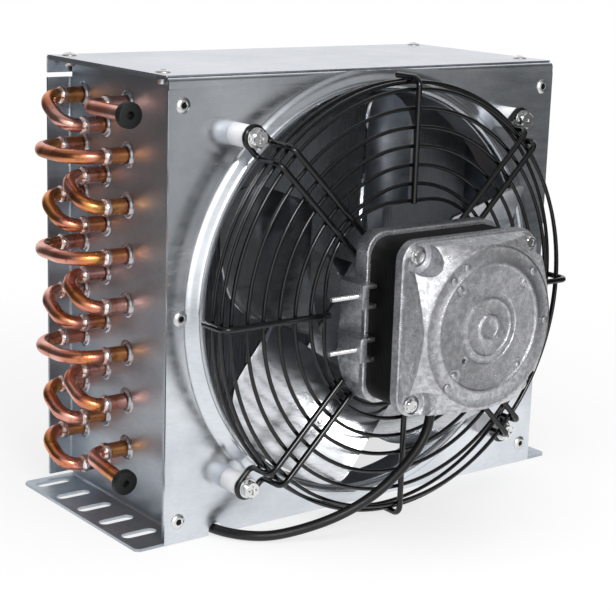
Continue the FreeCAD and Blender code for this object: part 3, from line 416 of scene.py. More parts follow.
def circle(middle, side, other, r, count):
    """Points round a middle, in the plane of two directions."""
    angles = [math.tau * k / count for k in range(count)]
    return [middle + (side * math.cos(a) + other * math.sin(a)) * r for a in angles]


class Shape:
    """Gathers the points and faces of one piece, in millimetres."""

    def __init__(self):
        self.points = []
        self.faces = []
        self.heat = []

    def add(self, points, faces, heat=0):
        base = len(self.points)
        self.points += [Vector(p) for p in points]
        self.faces += [tuple(base + i for i in face) for face in faces]
        self.heat += heat if isinstance(heat, list) else [heat] * len(points)

    def skin(self, rings, closed=False, ends=True, heats=None):
        """Faces between rings of equally many points, with flat ends."""
        count = len(rings[0])
        faces = []
        links = len(rings) if closed else len(rings) - 1
        for k in range(links):
            near, far = k * count, (k + 1) % len(rings) * count
            for i in range(count):
                n = (i + 1) % count
                faces.append((near + i, near + n, far + n, far + i))
        if ends and not closed:
            faces.append(tuple(reversed(range(count))))
            faces.append(tuple((len(rings) - 1) * count + i for i in range(count)))
        heat = [h for h in heats for i in range(count)] if heats else 0
        self.add([p for ring in rings for p in ring], faces, heat)

    def bar(self, path, radius, sides=16, closed=False, heats=None):
        """Round bar along a path; the radius is one value, or one for each point."""
        count = len(path)
        radii = radius if isinstance(radius, list) else [radius] * count
        ways = []
        for i in range(count):
            before = path[i] - path[i - 1] if closed or i > 0 else path[1] - path[0]
            after = path[(i + 1) % count] - path[i] if closed or i < count - 1 else before
            ways.append((before.normalized() + after.normalized()).normalized())
        side = ways[0].orthogonal().normalized()
        rings = []
        for point, way, r in zip(path, ways, radii):
            side = (side - way * side.dot(way)).normalized()
            rings.append(circle(point, side, way.cross(side), r, sides))
        self.skin(rings, closed, heats=heats)

    def turned(self, profile, base, axis, sides=48, around=False):
        """Solid of revolution: profile of (radius, distance along the axis) from the base."""
        axis = Vector(axis).normalized()
        side = axis.orthogonal().normalized()
        other = axis.cross(side)
        self.skin([circle(Vector(base) + axis * along, side, other, max(r, THIN), sides)
                   for r, along in profile], closed=around)

    def make(self, name, slot, *nodes, smooth=40, material=None):
        """Piece of the scene that stands for CAD nodes."""
        mesh = bpy.data.meshes.new(name)
        mesh.from_pydata([p * MM for p in self.points], [], self.faces)
        attribute = mesh.attributes.new("heat", "FLOAT", "POINT")
        attribute.data.foreach_set("value", self.heat)
        turn_outwards(mesh, merge=True)
        finish_mesh(mesh, smooth)
        piece = add_object(name, mesh)
        mesh.materials.append(MATERIALS[material or SLOT_MATERIALS.get(slot, slot)])
        stand_for(piece, slot, *nodes)
        return piece


def stand_for(piece, slot, *nodes):
    """Every piece that the scene makes rides on the part that stands still."""
    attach(piece, "condenser")
    if nodes:
        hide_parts(*nodes)


def turn_outwards(mesh, merge=False):
    """Faces the mesh outwards, and may merge its double points first."""
    built = bmesh.new()
    built.from_mesh(mesh)
    if merge:
        bmesh.ops.remove_doubles(built, verts=built.verts, dist=1e-7)
    bmesh.ops.recalc_face_normals(built, faces=built.faces)
    built.to_mesh(mesh)
    built.free()


def finish_mesh(mesh, smooth):
    mesh.shade_smooth()
    mesh.set_sharp_from_angle(angle=math.radians(smooth))


def rounded(points, radii, steps=8):
    """Route whose corners are arcs."""
    route = [points[0]]
    for before, corner, after, radius in zip(points, points[1:], points[2:], radii):
        back, onward = (before - corner).normalized(), (after - corner).normalized()
        half = (math.pi - back.angle(onward)) / 2
        reach_back = radius * math.tan(half)
        centre = corner + (back + onward).normalized() * (radius / math.cos(half))
        first, last = corner + back * reach_back - centre, corner + onward * reach_back - centre
        for k in range(steps + 1):
            point = centre + first.slerp(last, k / steps) * radius
            if (point - route[-1]).length > 1e-5:
                route.append(point)
    if (points[-1] - route[-1]).length > 1e-5:
        route.append(points[-1])
    return route


def at_axis(angle, distance, aside, y):
    turn = math.radians(angle)
    return Vector((distance * math.cos(turn) - aside * math.sin(turn), y,
                   AXIS_Z + distance * math.sin(turn) + aside * math.cos(turn)))


def square_spots(spot):
    return [(sx * spot, AXIS_Z + sz * spot) for sx in (-1, 1) for sz in (-1, 1)]


def square_ring(half, corner, y, steps=12):
    """Rounded square about the axis, as a ring of points."""
    ring = []
    inset = half - corner
    for quarter, middle in enumerate(((inset, inset), (-inset, inset), (-inset, -inset), (inset, -inset))):
        ring += arc(middle, corner, 90 * quarter, 90 * (quarter + 1), steps)
    return [Vector((x, y, AXIS_Z + z)) for x, z in ring]


def thread(crest, root, pitch, start, count):
    """Outline of a thread, as (radius, distance) of each crest and root."""
    rows = []
    for k in range(count):
        rows += [(crest, pitch * k + start), (root, pitch * (k + 0.5) + start)]
    return rows


def settle(piece):
    """Makes a piece's modifiers part of its mesh."""
    bpy.context.view_layer.update()
    graph = bpy.context.evaluated_depsgraph_get()
    mesh = bpy.data.meshes.new_from_object(piece.evaluated_get(graph))
    piece.modifiers.clear()
    piece.data = mesh


# Coil
def tube_place(row, level):
    row_index = "CBA".index(row)
    lower = TUBE_PITCH / 2 if row == "B" else 0
    return ROW_FRONT_Y + row_index * ROW_PITCH, TOP_TUBE_Z - lower - level * TUBE_PITCH


TUBE_SPOTS = [tube_place(row, level) for row in "CBA" for level in range(LEVELS)]
NARROW = [(("A", k), ("B", k)) for k in range(0, LEVELS, 2)]
NARROW += [(("B", k), ("C", k + 1)) for k in range(1, LEVELS - 1, 2)]
NARROW.append((("A", LEVELS - 1), ("B", LEVELS - 1)))
WIDE = [(("A", k), ("C", k)) for k in range(1, LEVELS - 1, 2)]
HAIRPINS = [(("C", k), ("B", k)) for k in range(LEVELS)]
HAIRPINS += [(("A", k), ("A", k + 1)) for k in range(0, LEVELS, 2)]
BRAZE_LENGTH = 1.6
# Heat marks: their reach from a brazed end, and their strength on plain tube, on bells and on pipe ends
HEAT_REACH = 9
TUBE_HEAT = 0.25
BELL_HEAT = 0.85
PIPE_END_HEAT = 0.15


def u_path(pair, start, apex, radius):
    """Route that joins a pair of tubes by way of a distance beyond their ends."""
    (y0, z0), (y1, z1) = tube_place(*pair[0]), tube_place(*pair[1])
    corners = [Vector(p) for p in ((start, y0, z0), (apex, y0, z0), (apex, y1, z1), (start, y1, z1))]
    return rounded(corners, (radius, radius), 14)


def half_span(pair):
    (y0, z0), (y1, z1) = tube_place(*pair[0]), tube_place(*pair[1])
    return math.hypot(y1 - y0, z1 - z0) / 2


def heats_along(path):
    """Heat mark of each point: full at both ends of a brazed piece, none in its middle."""
    lengths = [0]
    for a, b in zip(path, path[1:]):
        lengths.append(lengths[-1] + (b - a).length)
    return [max(0, 1 - min(s, lengths[-1] - s) / HEAT_REACH) for s in lengths]


def hairpins():
    """Tubes bent on the right, with the bells on the left that take the return bends."""
    shape = Shape()
    stops = ((-SHEET_T, TUBE_R), (0.6, TUBE_R + 0.1), (1.4, BELL_R - 0.1), (2.2, BELL_R),
             (BELL_LENGTH - 1, BELL_R), (BELL_LENGTH - 0.4, BELL_R + 0.25), (BELL_LENGTH, BELL_R + 0.1))
    for pair in HAIRPINS:
        half = half_span(pair)
        path = u_path(pair, -WEB_X, WEB_X + HAIRPIN_STRAIGHT + half, half)
        shape.bar(path, TUBE_R, 20, heats=[TUBE_HEAT] * len(path))
        for place in pair:
            y, z = tube_place(*place)
            bell = [Vector((-WEB_X - d, y, z)) for d, r in stops]
            shape.bar(bell, [r for d, r in stops], 24, heats=[BELL_HEAT] * len(stops))
    shape.make("hairpin_coil", "copper_tube", "hairpin_tubes")


def bend(name, pair, out):
    """Bend brazed into two bells, which goes out from their mouths as far as it is told."""
    shape = Shape()
    mouth = -WEB_X - BELL_LENGTH
    path = u_path(pair, mouth + 1, mouth - out, min(half_span(pair), out - LEG_LENGTH))
    shape.bar(path, TUBE_R, 24, heats=heats_along(path))
    shape.make(name + "_copper", "copper_tube", name)


def pipe_path(spec):
    y, z = tube_place("C", spec["level"])
    start = Vector((-WEB_X - BELL_LENGTH + 1, y, z))
    corner = Vector((-WEB_X - spec["out"], y, z))
    return rounded([start, corner, spec["end"] + Vector((0, 3.6, 0))], (ELBOW_R,), 14)


def connection(name, spec):
    """A pipe with its elbow, and the plug in its end."""
    path = pipe_path(spec)
    shape = Shape()
    heats = [h if i < len(path) / 2 else PIPE_END_HEAT for i, h in enumerate(heats_along(path))]
    shape.bar(path, PIPE_R, 28, heats=heats)
    shape.make(name + "_pipe_copper", "copper_tube", name + "_pipe")
    way = (path[-2] - path[-1]).normalized()
    cap = Shape()
    profile = [(0, 3.2), (1.8, 3.2), (1.85, 0.3), (2.1, 0), (CAP_R - 1, 0), (CAP_R - 0.3, 0.3),
               (CAP_R, 1), (CAP_R, CAP_LENGTH - 0.7), (CAP_R - 0.6, CAP_LENGTH), (PIPE_R - 0.1, CAP_LENGTH),
               (PIPE_R - 0.1, 3.4), (0, 3.4)]
    cap.turned(profile, spec["end"], way, 56)
    cap.make(name + "_cap_rubber", "cap_rubber", name + "_cap")


def collars():
    """Drawn collars of both tube sheets, in a lighter copy of the sheets' metal: the lighter colour is
    painted highlight.
    """
    shape = Shape()
    outer = ((0.15, 1.1), (0.25, 0.4), (0.5, 0.4), (0.55, 1.3), (0.8, 1.5), (1.15, 1.3), (1.5, 0.7),
             (2, 0.2), (2.7, 0.02), (2.7, -0.4))
    profile = [(TUBE_R + 0.1, -0.4), (TUBE_R + 0.1, 1), *((BELL_R + r, along) for r, along in outer)]
    for side in (-1, 1):
        for y, z in TUBE_SPOTS:
            shape.turned(profile, (side * WEB_X, y, z), (side, 0, 0), 36, around=True)
    shape.make("tube_collars", "tube_sheets", material="collar")


def brazing():
    """Rings of brazing alloy at the mouths of the bells."""
    shape = Shape()
    length, inner = BELL_LENGTH, TUBE_R - 0.1
    profile = [(inner, length - 2.4), (BELL_R + 0.15, length - 2.2), (BELL_R + 0.5, length - 1.5),
               (BELL_R + 0.62, length - 0.7), (BELL_R + 0.5, length + 0.1), (inner + 0.75, length + 0.8),
               (inner + 0.3, length + BRAZE_LENGTH * 0.8), (inner, length + BRAZE_LENGTH)]
    for y, z in TUBE_SPOTS:
        shape.turned(profile, (-WEB_X, y, z), (-1, 0, 0), 28, around=True)
    shape.make("brazed_joints", "copper_tube", material="brazing")


FIN_COUNT = 106
FIN_T = 0.16
FIN_WAVE = 0.35
FIN_WAVES = 9


def fin_stack():
    """Thin plates with pressed waves across the air's way."""
    shape = Shape()
    low, high = FINS_LOW, FINS_HIGH
    span = high.x - low.x
    steps = FIN_WAVES * 4
    waves = [(FIN_WAVE * math.sin(math.tau * FIN_WAVES * i / steps), low.y + (high.y - low.y) * i / steps)
             for i in range(steps + 1)]
    for k in range(FIN_COUNT):
        x = low.x + FIN_WAVE + FIN_T + (span - 2 * (FIN_WAVE + FIN_T)) * k / (FIN_COUNT - 1)
        ring = [(x + wave + FIN_T / 2, y) for wave, y in waves]
        ring += [(x + wave - FIN_T / 2, y) for wave, y in reversed(waves)]
        shape.skin([[Vector((px, py, z)) for px, py in ring] for z in (low.z, high.z)])
    shape.make("fin_stack", "fins", "fins", smooth=50)


# Front panel
def bead_profile():
    """Rolled bead round the opening and the collar behind it, as (radius, height before the panel)."""
    slope, crest_r = math.radians(BEAD_SLOPE), BEAD_CREST_R
    middle_r, middle_h = COLLAR_R + crest_r, BEAD_HEIGHT - crest_r
    top_r, top_h = middle_r + crest_r * math.sin(slope), middle_h + crest_r * math.cos(slope)
    fillet = BEAD_FILLET * math.tan(slope / 2)
    foot_r = top_r + top_h / math.tan(slope)
    foot = arc((foot_r + fillet, BEAD_FILLET), BEAD_FILLET, -90, -90 - BEAD_SLOPE, 6)
    crest = arc((middle_r, middle_h), crest_r, 90 - BEAD_SLOPE, 180, 14)
    return foot + crest + [(COLLAR_R, -2), (COLLAR_R, -8), (COLLAR_R, -LIP_DEPTH)]


def notch_arch():
    """Rounded top of the notch that lets the lead pass, as (across, up)."""
    aside, z = NOTCH_HALF - NOTCH_CORNER, NOTCH_TOP - NOTCH_CORNER
    return (arc((NOTCH_X - aside, z), NOTCH_CORNER, 180, 90, 6)
            + arc((NOTCH_X + aside, z), NOTCH_CORNER, 90, 0, 6))


def in_notch(spot):
    """Whether a spot of the flat sheet, as (across, up), is in the notch."""
    across = max(0, abs(spot.x - NOTCH_X) - NOTCH_HALF + NOTCH_CORNER)
    above = max(0, spot.y - NOTCH_TOP + NOTCH_CORNER)
    return math.hypot(across, above) < NOTCH_CORNER


def front_panel():
    """Sheet with its beaded opening, its notch, and the fold and flange along its top."""
    shape = Shape()
    angles = [math.tau * k / ROUND_STEPS for k in range(ROUND_STEPS)]
    rings = []
    profile = bead_profile()
    bead_r = profile[0][0]
    left, right, low = -CASE_HALF, CASE_HALF, PANEL_LIFT
    for r, height in profile:
        levels = [min(max(AXIS_Z + r * math.sin(a), low), CASE_HEIGHT - PANEL_T) for a in angles]
        rings.append([Vector((r * math.cos(a), FRONT_Y - height, z)) for a, z in zip(angles, levels)])
    shape.skin(rings, ends=False)
    crease_z = CASE_HEIGHT - CREASE_DROP
    outline = [(left, low), (NOTCH_X - NOTCH_HALF, low), *notch_arch(), (NOTCH_X + NOTCH_HALF, low),
               (right, low), (right, crease_z), (left, crease_z)]
    hole = [(p.x, p.z) for p in rings[0]]
    flat = [Vector(p) for p in outline + hole]
    edges = [(i, (i + 1) % len(outline)) for i in range(len(outline))]
    base = len(outline)
    edges += [(base + i, base + (i + 1) % ROUND_STEPS) for i in range(ROUND_STEPS)]
    points, _, faces = delaunay_2d_cdt(flat, edges, [], 0, 1e-6)[:3]
    kept = []
    for face in faces:
        middle = sum((points[i] for i in face), Vector((0, 0))) / len(face)
        in_hole = (middle - Vector((0, AXIS_Z))).length < bead_r * 0.999
        if not in_hole and not in_notch(middle):
            kept.append(face)
    shape.add([(p.x, FRONT_Y, p.y) for p in points], kept)
    rows = [(FRONT_Y, crease_z), (FRONT_Y + CREASE_SET * 0.3, crease_z + 0.2),
            (FRONT_Y + CREASE_SET, crease_z + 0.6)]
    bend_z = CASE_HEIGHT - PANEL_T - PANEL_BEND
    for k in range(9):
        a = math.pi / 2 * k / 8
        rows.append((FRONT_Y + CREASE_SET + (PANEL_BEND - CREASE_SET) * (1 - math.cos(a)),
                     bend_z + PANEL_BEND * math.sin(a)))
    rows.append((FRONT_Y + PANEL_TOP_DEPTH, bend_z + PANEL_BEND))
    points = [(x, y, z) for y, z in rows for x in (left, right)]
    shape.add(points, [(2 * k, 2 * k + 1, 2 * k + 3, 2 * k + 2) for k in range(len(rows) - 1)])
    panel = shape.make("front_panel", "front_sheet", "front_shroud", smooth=35)
    sheet = panel.modifiers.new("sheet", "SOLIDIFY")
    sheet.thickness = PANEL_T * MM
    sheet.offset = -1
    if not any(p.normal.y < -0.99 for p in panel.data.polygons):
        panel.data.flip_normals()
    settle(panel)
    finish_mesh(panel.data, 35)


def rivet_row(name, spots, way, node):
    """Blind rivets: a domed flange before the sheets and the set tail behind them."""
    head = [(0, -1), (3.9, -1), (3.9, 0.1), (3.75, 0.3), (3.2, 0.75), (2.5, 1.1), (2, 1.2),
            (1.6, 1.15), (1.4, 0.9), (1.3, 0.4), (0, 0.3)]
    tail = [(0, 0), (2.8, 0), (2.8, 2.4), (2.3, 3), (0, 3)]
    shape = Shape()
    for spot in spots:
        shape.turned(head, spot, way, 36)
        shape.turned(tail, Vector(spot) - Vector(way) * (PANEL_T + SHEET_T), -Vector(way), 24)
    shape.make(name, "rivets", node)


def rivet_heads():
    """Rivets of the front and of the top; in the middle of each head a black disc is painted shade for the
    mandrel's hollow end.
    """
    front_x, top_x = CASE_HALF - FRONT_RIVET_INSET, CASE_HALF - TOP_RIVET_INSET
    front = [(x, FRONT_Y, z) for x in (-front_x, front_x) for z in FRONT_RIVET_LEVELS]
    top = [(x, y, CASE_HEIGHT) for x in (-top_x, top_x) for y in TOP_RIVET_ROWS]
    rivet_row("front_rivet_heads", front, TO_FRONT, "front_rivets")
    # The mandrel's hole is not cut: a disc of the black stack material fills it, as painted shade.
    hollow = [(0, 0), (1.45, 0), (1.3, 0.95), (0, 0.9)]
    painted_shade_discs = Shape()
    for spots, way in ((front, TO_FRONT), (top, UP)):
        for spot in spots:
            painted_shade_discs.turned(hollow, spot, way, 24)
    painted_shade_discs.make("rivet_painted_shade_discs", "rivets", material="lamination")
    rivet_row("top_rivet_heads", top, UP, "top_rivets")


# Guard
def guard():
    """Wires in front of the fan: rings, four single ribs, and four ribs that loop round the bolts."""
    rings = Shape()
    gap = (RING_OUTER - RING_INNER) / (RING_COUNT - 1)
    places = [(RING_OUTER - k * gap, RING_PLANE) for k in range(RING_COUNT)]
    places += [(RIB_REACH - RIB_R - RING_R, RIB_PLANE + back) for back in SIDE_RING_SETBACKS]
    for r, y in places:
        rings.bar([at_axis(360 * k / 144, r, 0, y) for k in range(144)], RING_R, 12, closed=True)
    rings.bar(square_ring(INNER_LOOP_HALF, INNER_LOOP_CORNER, RING_PLANE, 18), RING_R, 12, closed=True)
    rings.make("guard_ring_wires", "guard_wire", "guard_rings")
    single = Shape()
    for angle in (0, 90, 180, 270):
        corners = [at_axis(angle, far, 0, y) for far, y in
                   ((INNER_LOOP_HALF - RING_R, RIB_PLANE), (RIB_REACH, RIB_PLANE), (RIB_REACH, LOOP_PLANE))]
        single.bar(rounded(corners, (RIB_BEND,)), RIB_R, 16)
    single.make("guard_single_wires", "guard_wire", "guard_single_ribs")
    double = Shape()
    aside = RIB_PAIR / 2
    leg = ((RIB_INNER, RIB_PLANE), (RIB_REACH, RIB_PLANE), (RIB_REACH, LOOP_PLANE),
           (BOLT_REACH + aside, LOOP_PLANE))
    radii = (RIB_BEND, LOOP_BEND, aside, aside, LOOP_BEND, RIB_BEND)
    for angle in (45, 135, 225, 315):
        corners = [at_axis(angle, far, -aside, y) for far, y in leg]
        corners += [at_axis(angle, far, aside, y) for far, y in reversed(leg)]
        double.bar(rounded(corners, radii), RIB_R, 16)
    double.make("guard_double_wires", "guard_wire", "guard_double_ribs")


def hex_head(shape, seat, way, flats, height, cross=False):
    """Hexagon head with its corners turned down, and a cross or a shallow round recess in its top."""
    corner = flats / math.sqrt(3)
    way = Vector(way)
    base = Vector(seat)
    side = Vector(UP)
    other = way.cross(side)

    def ring(along, reach_at):
        angles = [math.tau * k / 72 for k in range(72)]
        return [base + way * along + (side * math.cos(a) + other * math.sin(a)) * reach_at(a) for a in angles]

    def hexagon(limit):
        return lambda a: min(limit, flats / 2 / math.cos((a % (math.pi / 3)) - math.pi / 6))

    def recess(a):
        if not cross:
            return flats * 0.3
        t = (a + math.pi / 4) % (math.pi / 2) - math.pi / 4
        return min(flats * 0.31 / math.cos(t), flats * 0.075 / max(abs(math.sin(t)), 1e-6))

    shape.skin([ring(0, hexagon(flats / 2 * 0.97)), ring(0.25, hexagon(corner)),
                ring(height - 0.5, hexagon(corner)), ring(height, hexagon(flats / 2 * 0.92)),
                ring(height, recess),
                ring(height - (flats * 0.16 if cross else 0.35), lambda a: recess(a) * 0.9)])


def guard_fixings():
    spacers, washers, bolts, nuts = Shape(), Shape(), Shape(), Shape()
    seat = LOOP_PLANE - RIB_R
    head_seat = seat - WASHER_T
    length = FRONT_Y + PANEL_T + BOLT_PAST_PANEL - head_seat
    sleeve = [(BOLT_HOLE_R, 0), (SPACER_R - 0.3, 0), (SPACER_R, 0.4), (SPACER_R, SPACER_LENGTH - 0.4),
              (SPACER_R - 0.3, SPACER_LENGTH), (BOLT_HOLE_R, SPACER_LENGTH)]
    washer = [(BOLT_HOLE_R, 0), (4.9, 0), (5, 0.2), (5, 0.85), (4.85, WASHER_T),
              (BOLT_HOLE_R, WASHER_T)]
    shank = [(0, 0), *thread(2.45, 2.2, BOLT_PITCH, 0.05, int(length / BOLT_PITCH)), (0, length)]
    for x, z in square_spots(BOLT_SPOT):
        spacers.turned(sleeve, (x, FRONT_Y, z), TO_FRONT, 40, around=True)
        washers.turned(washer, (x, seat, z), TO_FRONT, 40, around=True)
        hex_head(bolts, (x, head_seat, z), TO_FRONT, BOLT_FLATS, 3.5, True)
        bolts.turned(shank, (x, head_seat, z), TO_BACK, 20)
        hex_head(nuts, (x, FRONT_Y + PANEL_T, z), TO_BACK, BOLT_FLATS, 4)
    spacers.make("spacer_sleeves", "spacer_plastic", "guard_spacers")
    washers.make("flat_washers", "zinc_hardware", "guard_washers")
    for shape, kind in ((bolts, "bolts"), (nuts, "nuts")):
        shape.make("hex_" + kind, "zinc_hardware", "guard_" + kind, smooth=30)


# Motor
def raw_object(shape, name):
    """Shape that is still to be carved or joined."""
    mesh = bpy.data.meshes.new(name)
    mesh.from_pydata([p * MM for p in shape.points], [], shape.faces)
    turn_outwards(mesh)
    return add_object(name, mesh)


def carve(piece, tool, operation):
    modifier = piece.modifiers.new("carve", "BOOLEAN")
    modifier.operation = operation
    modifier.object = tool
    modifier.solver = "EXACT"
    settle(piece)
    bpy.data.objects.remove(tool)


def drill(piece, profile, base, sides):
    """Cuts a turned hollow into a piece, from the inside to the front."""
    tool = Shape()
    tool.turned(profile, base, TO_FRONT, sides)
    carve(piece, raw_object(tool, "tool"), "DIFFERENCE")


def soft_edges(piece, width, angle=30):
    weld = piece.modifiers.new("weld", "WELD")
    weld.merge_threshold = 1e-6
    edges = piece.modifiers.new("edges", "BEVEL")
    edges.width = width * MM
    edges.segments = 2
    edges.limit_method = "ANGLE"
    edges.angle_limit = math.radians(angle)


# Steps of the cover's round face, as (radius, distance behind the face)
DISC_PROFILE = (
    (0, 0.45), (4.5, 0.45), (4.9, -0.15), (6.2, -0.15), (6.9, 0.8), (12.9, 0.8), (13.4, 0.15), (14.3, 0.15),
    (14.8, 1.3), (17.2, 1.3), (17.6, 0.9), (29.7, 0.9), (30.3, 0), (31.4, 0), (32, 0.35), (37.6, 0.7),
    (38.4, 0.5), (39.6, 0.9), (41, 2.6), (60, 16.4), (60, 18.5), (0, 18.5),
)
POCKET_LIFT = 2.6
# Marks on the face and its one hole, as (across, up) from the axis
PIN_MARKS = ((-19.2, 20.4), (21.4, 20), (20.5, -20.7), (-20.5, -20.6))
PLAIN_MARKS = ((-16, 30.3), (-23.8, 24.9), (26.3, 24.7), (36.3, -0.8), (-24.9, -25.4))
DARK_HOLE = (-14.8, -14.1)
RIM_R = 30


def motor_cover():
    """Cast cover: square skirt, drafted walls, and a cone that rises to a round stepped face."""
    walls = Shape()
    walls.skin([square_ring(MOTOR_HALF - inset, MOTOR_CORNER - sharper, y) for inset, sharper, y in
                ((0.8, 1, SKIRT_FRONT + 2), (1.1, 1, SKIRT_FRONT), (2.2, 1.4, FACE_Y - 2))])
    cover = raw_object(walls, "motor_cover")
    dome = Shape()
    dome.turned(DISC_PROFILE, (0, FACE_Y, AXIS_Z), TO_BACK, 128)
    carve(cover, raw_object(dome, "dome"), "INTERSECT")
    pocket = [(0, 0), (POCKET_R - 0.4, 0), (POCKET_R, 0.5), (POCKET_R + 0.8, 20), (0, 20)]
    for x, z in square_spots(SCREW_SPOT):
        drill(cover, pocket, (x, SKIRT_FRONT - POCKET_LIFT, z), 64)
        drill(cover, [(0, 0), (4.9, 0), (4.9, 5), (0, 5)], (x, SKIRT_FRONT - 0.1, z), 48)
    drill(cover, [(0, 0), (1.3, 0), (1.3, 6), (0, 6)],
          (DARK_HOLE[0], FACE_Y + 5, AXIS_Z + DARK_HOLE[1]), 24)
    soft_edges(cover, 0.22)
    settle(cover)
    finish_mesh(cover.data, 28)
    return cover


def cover_skirt():
    """Square rim of the cover, against the stack."""
    shape = Shape()
    shape.skin([square_ring(MOTOR_HALF - inset, MOTOR_CORNER - inset, y) for inset, y in
                ((0.4, STACK_FRONT), (0, STACK_FRONT - 0.4), (0, SKIRT_FRONT + 0.5), (0.5, SKIRT_FRONT))])
    return shape


def cover_marks():
    """Ejector marks of the casting: some sit in round scoops."""
    shape = Shape()
    for marks, stud in ((PIN_MARKS, [(0, 0.55), (1.2, 0.5), (1.7, 0.2), (1.9, -0.3), (0, -0.3)]),
                        (PLAIN_MARKS, [(0, 0.3), (1.4, 0.28), (1.9, 0.05), (2, -0.3), (0, -0.3)])):
        for x, z in marks:
            base = (x, FACE_Y + (0.8 if math.hypot(x, z) < RIM_R else 0), AXIS_Z + z)
            shape.turned(stud, base, TO_FRONT, 28)
            if marks == PIN_MARKS:
                lip = [(2.7, -0.3), (2.9, 0.25), (3.3, 0.35), (3.6, -0.3)]
                shape.turned(lip, base, TO_FRONT, 36, around=True)
    return shape


def motor():
    """Motor's front: cover with its skirt and marks, cover screws, and the studs at the side."""
    cover = motor_cover()
    skirt = raw_object(cover_skirt(), "skirt")
    marks = raw_object(cover_marks(), "marks")
    for extra in (skirt, marks):
        finish_mesh(extra.data, 35)
    join_into(cover, [skirt, marks])
    cast_piece(cover, "motor_front_cover")
    screws = Shape()
    for x, z in square_spots(SCREW_SPOT):
        screws.turned([(0, -0.2), (3.6, -0.2), (3.6, 2.2), (3.3, 2.5), (0, 2.5)], (x, SKIRT_FRONT, z),
                      TO_FRONT, 32)
        hex_head(screws, (x, SKIRT_FRONT - 2.4, z), TO_FRONT, 5.5, 1.8)
    screws.make("cover_hex_screws", "zinc_hardware", "cover_screws", smooth=30)
    low, high = reach("terminal_studs")
    studs = Shape()
    y = (low.y + high.y) / 2
    length = high.x - low.x - STUD_HEAD
    stud = [(0, 0), (1, 0), (1.25, 0.3),
            *thread(1.25, 1.1, STUD_PITCH, STUD_PITCH, int(length / STUD_PITCH) - 1),
            (1.25, length), (STUD_HEAD_R, length), (STUD_HEAD_R, length + STUD_HEAD - 0.4),
            (STUD_HEAD_R - 0.4, length + STUD_HEAD), (0, length + STUD_HEAD)]
    for z in (low.z + STUD_HEAD_R, high.z - STUD_HEAD_R):
        studs.turned(stud, (low.x, y, z), (1, 0, 0), 24)
    studs.make("stud_screws", "zinc_hardware", "terminal_studs")


# Side of the rear shell, as (across, up) from the axis, and the lugs that hold the studs
CHEEK = ((-35, 30), (-43.2, 19.6), (-45.2, 9.4), (-46.2, -4.3), (-46.3, -19.6), (-44.8, -26.5),
         (-42.5, -31.5), (-35, -41.5))
LUG_OUT = 8.5
LUG_WALL = 4
LUG_HEIGHT = 11.6
LUG_ARM = 2
LUG_DEPTH = 23.5
LUG_START = 6
LUG_ABOVE_AXIS = (13.5, -12.3)
FLANGE_DEPTH = 9
STUD_HEAD = 1.8
STUD_HEAD_R = 2.3
STUD_PITCH = 0.5


def add_box(shape, low, high):
    corners = [(x, y, z) for x in (low[0], high[0]) for y in (low[1], high[1]) for z in (low[2], high[2])]
    shape.add(corners, [(0, 1, 3, 2), (4, 6, 7, 5), (0, 4, 5, 1), (2, 3, 7, 6), (0, 2, 6, 4), (1, 5, 7, 3)])


def rear_shell():
    """Cast rear shell: a flange against the stack, a rounder body, a drafted cheek and two terminal lugs."""
    body, cheek = Shape(), Shape()
    depth = SHELL_BACK - SHELL_FRONT
    rings = ((0.5, 0.5, 0), (0, 0, 0.5), (0, 0, FLANGE_DEPTH - 0.6), (0.6, -0.4, FLANGE_DEPTH),
             (2.6, -6, FLANGE_DEPTH + 0.3), (4, -8, depth - 1.5), (5.5, -7, depth))
    body.skin([square_ring(MOTOR_HALF - inset, MOTOR_CORNER - sharper, SHELL_FRONT + back)
               for inset, sharper, back in rings])
    shell = raw_object(body, "motor_rear_casting")
    side = -MOTOR_HALF
    cheek.skin([[Vector((side + 0.1 + (x - side) * share if x < side else x, SHELL_FRONT + back, AXIS_Z + z))
                 for x, z in CHEEK] for back, share in ((2.5, 0), (depth - 1.2, 1), (depth - 0.2, 0.85))])
    extras = [raw_object(cheek, "cheek")]
    outer, wall = side - LUG_OUT, side - LUG_OUT + LUG_WALL
    front, back = SHELL_BACK - LUG_DEPTH, SHELL_BACK - LUG_START
    for height in LUG_ABOVE_AXIS:
        z = AXIS_Z + height
        low, high = z - LUG_HEIGHT / 2, z + LUG_HEIGHT / 2
        lug, channel, ribs = Shape(), Shape(), Shape()
        add_box(lug, (outer, front, low), (side, back, high))
        add_box(channel, (wall, front - 1, low + LUG_ARM), (side + 2, SHELL_FRONT, high - LUG_ARM))
        made = raw_object(lug, "lug")
        carve(made, raw_object(channel, "channel"), "DIFFERENCE")
        rib = ((outer + 1.5, back - 0.5), (outer + 4, SHELL_BACK - 0.4), (side + 1, SHELL_BACK - 0.4),
               (side + 1, back - 0.5))
        for end in (low + 0.9, high - 0.9):
            ribs.skin([[Vector((x, y, end + thick)) for x, y in rib] for thick in (-0.7, 0.7)])
        extras += [made, raw_object(ribs, "ribs")]
    for part in [shell] + extras:
        soft_edges(part, 0.3, 25)
        settle(part)
        finish_mesh(part.data, 28)
    join_into(shell, extras)
    cast_piece(shell, "motor_rear_shell")


def join_into(piece, extras):
    bpy.context.view_layer.update()
    with bpy.context.temp_override(active_object=piece, selected_editable_objects=[piece, *extras]):
        bpy.ops.object.join()


def cast_piece(piece, node):
    piece.data.materials.clear()
    piece.data.materials.append(MATERIALS["cast_shell"])
    stand_for(piece, "cast_shell", node)


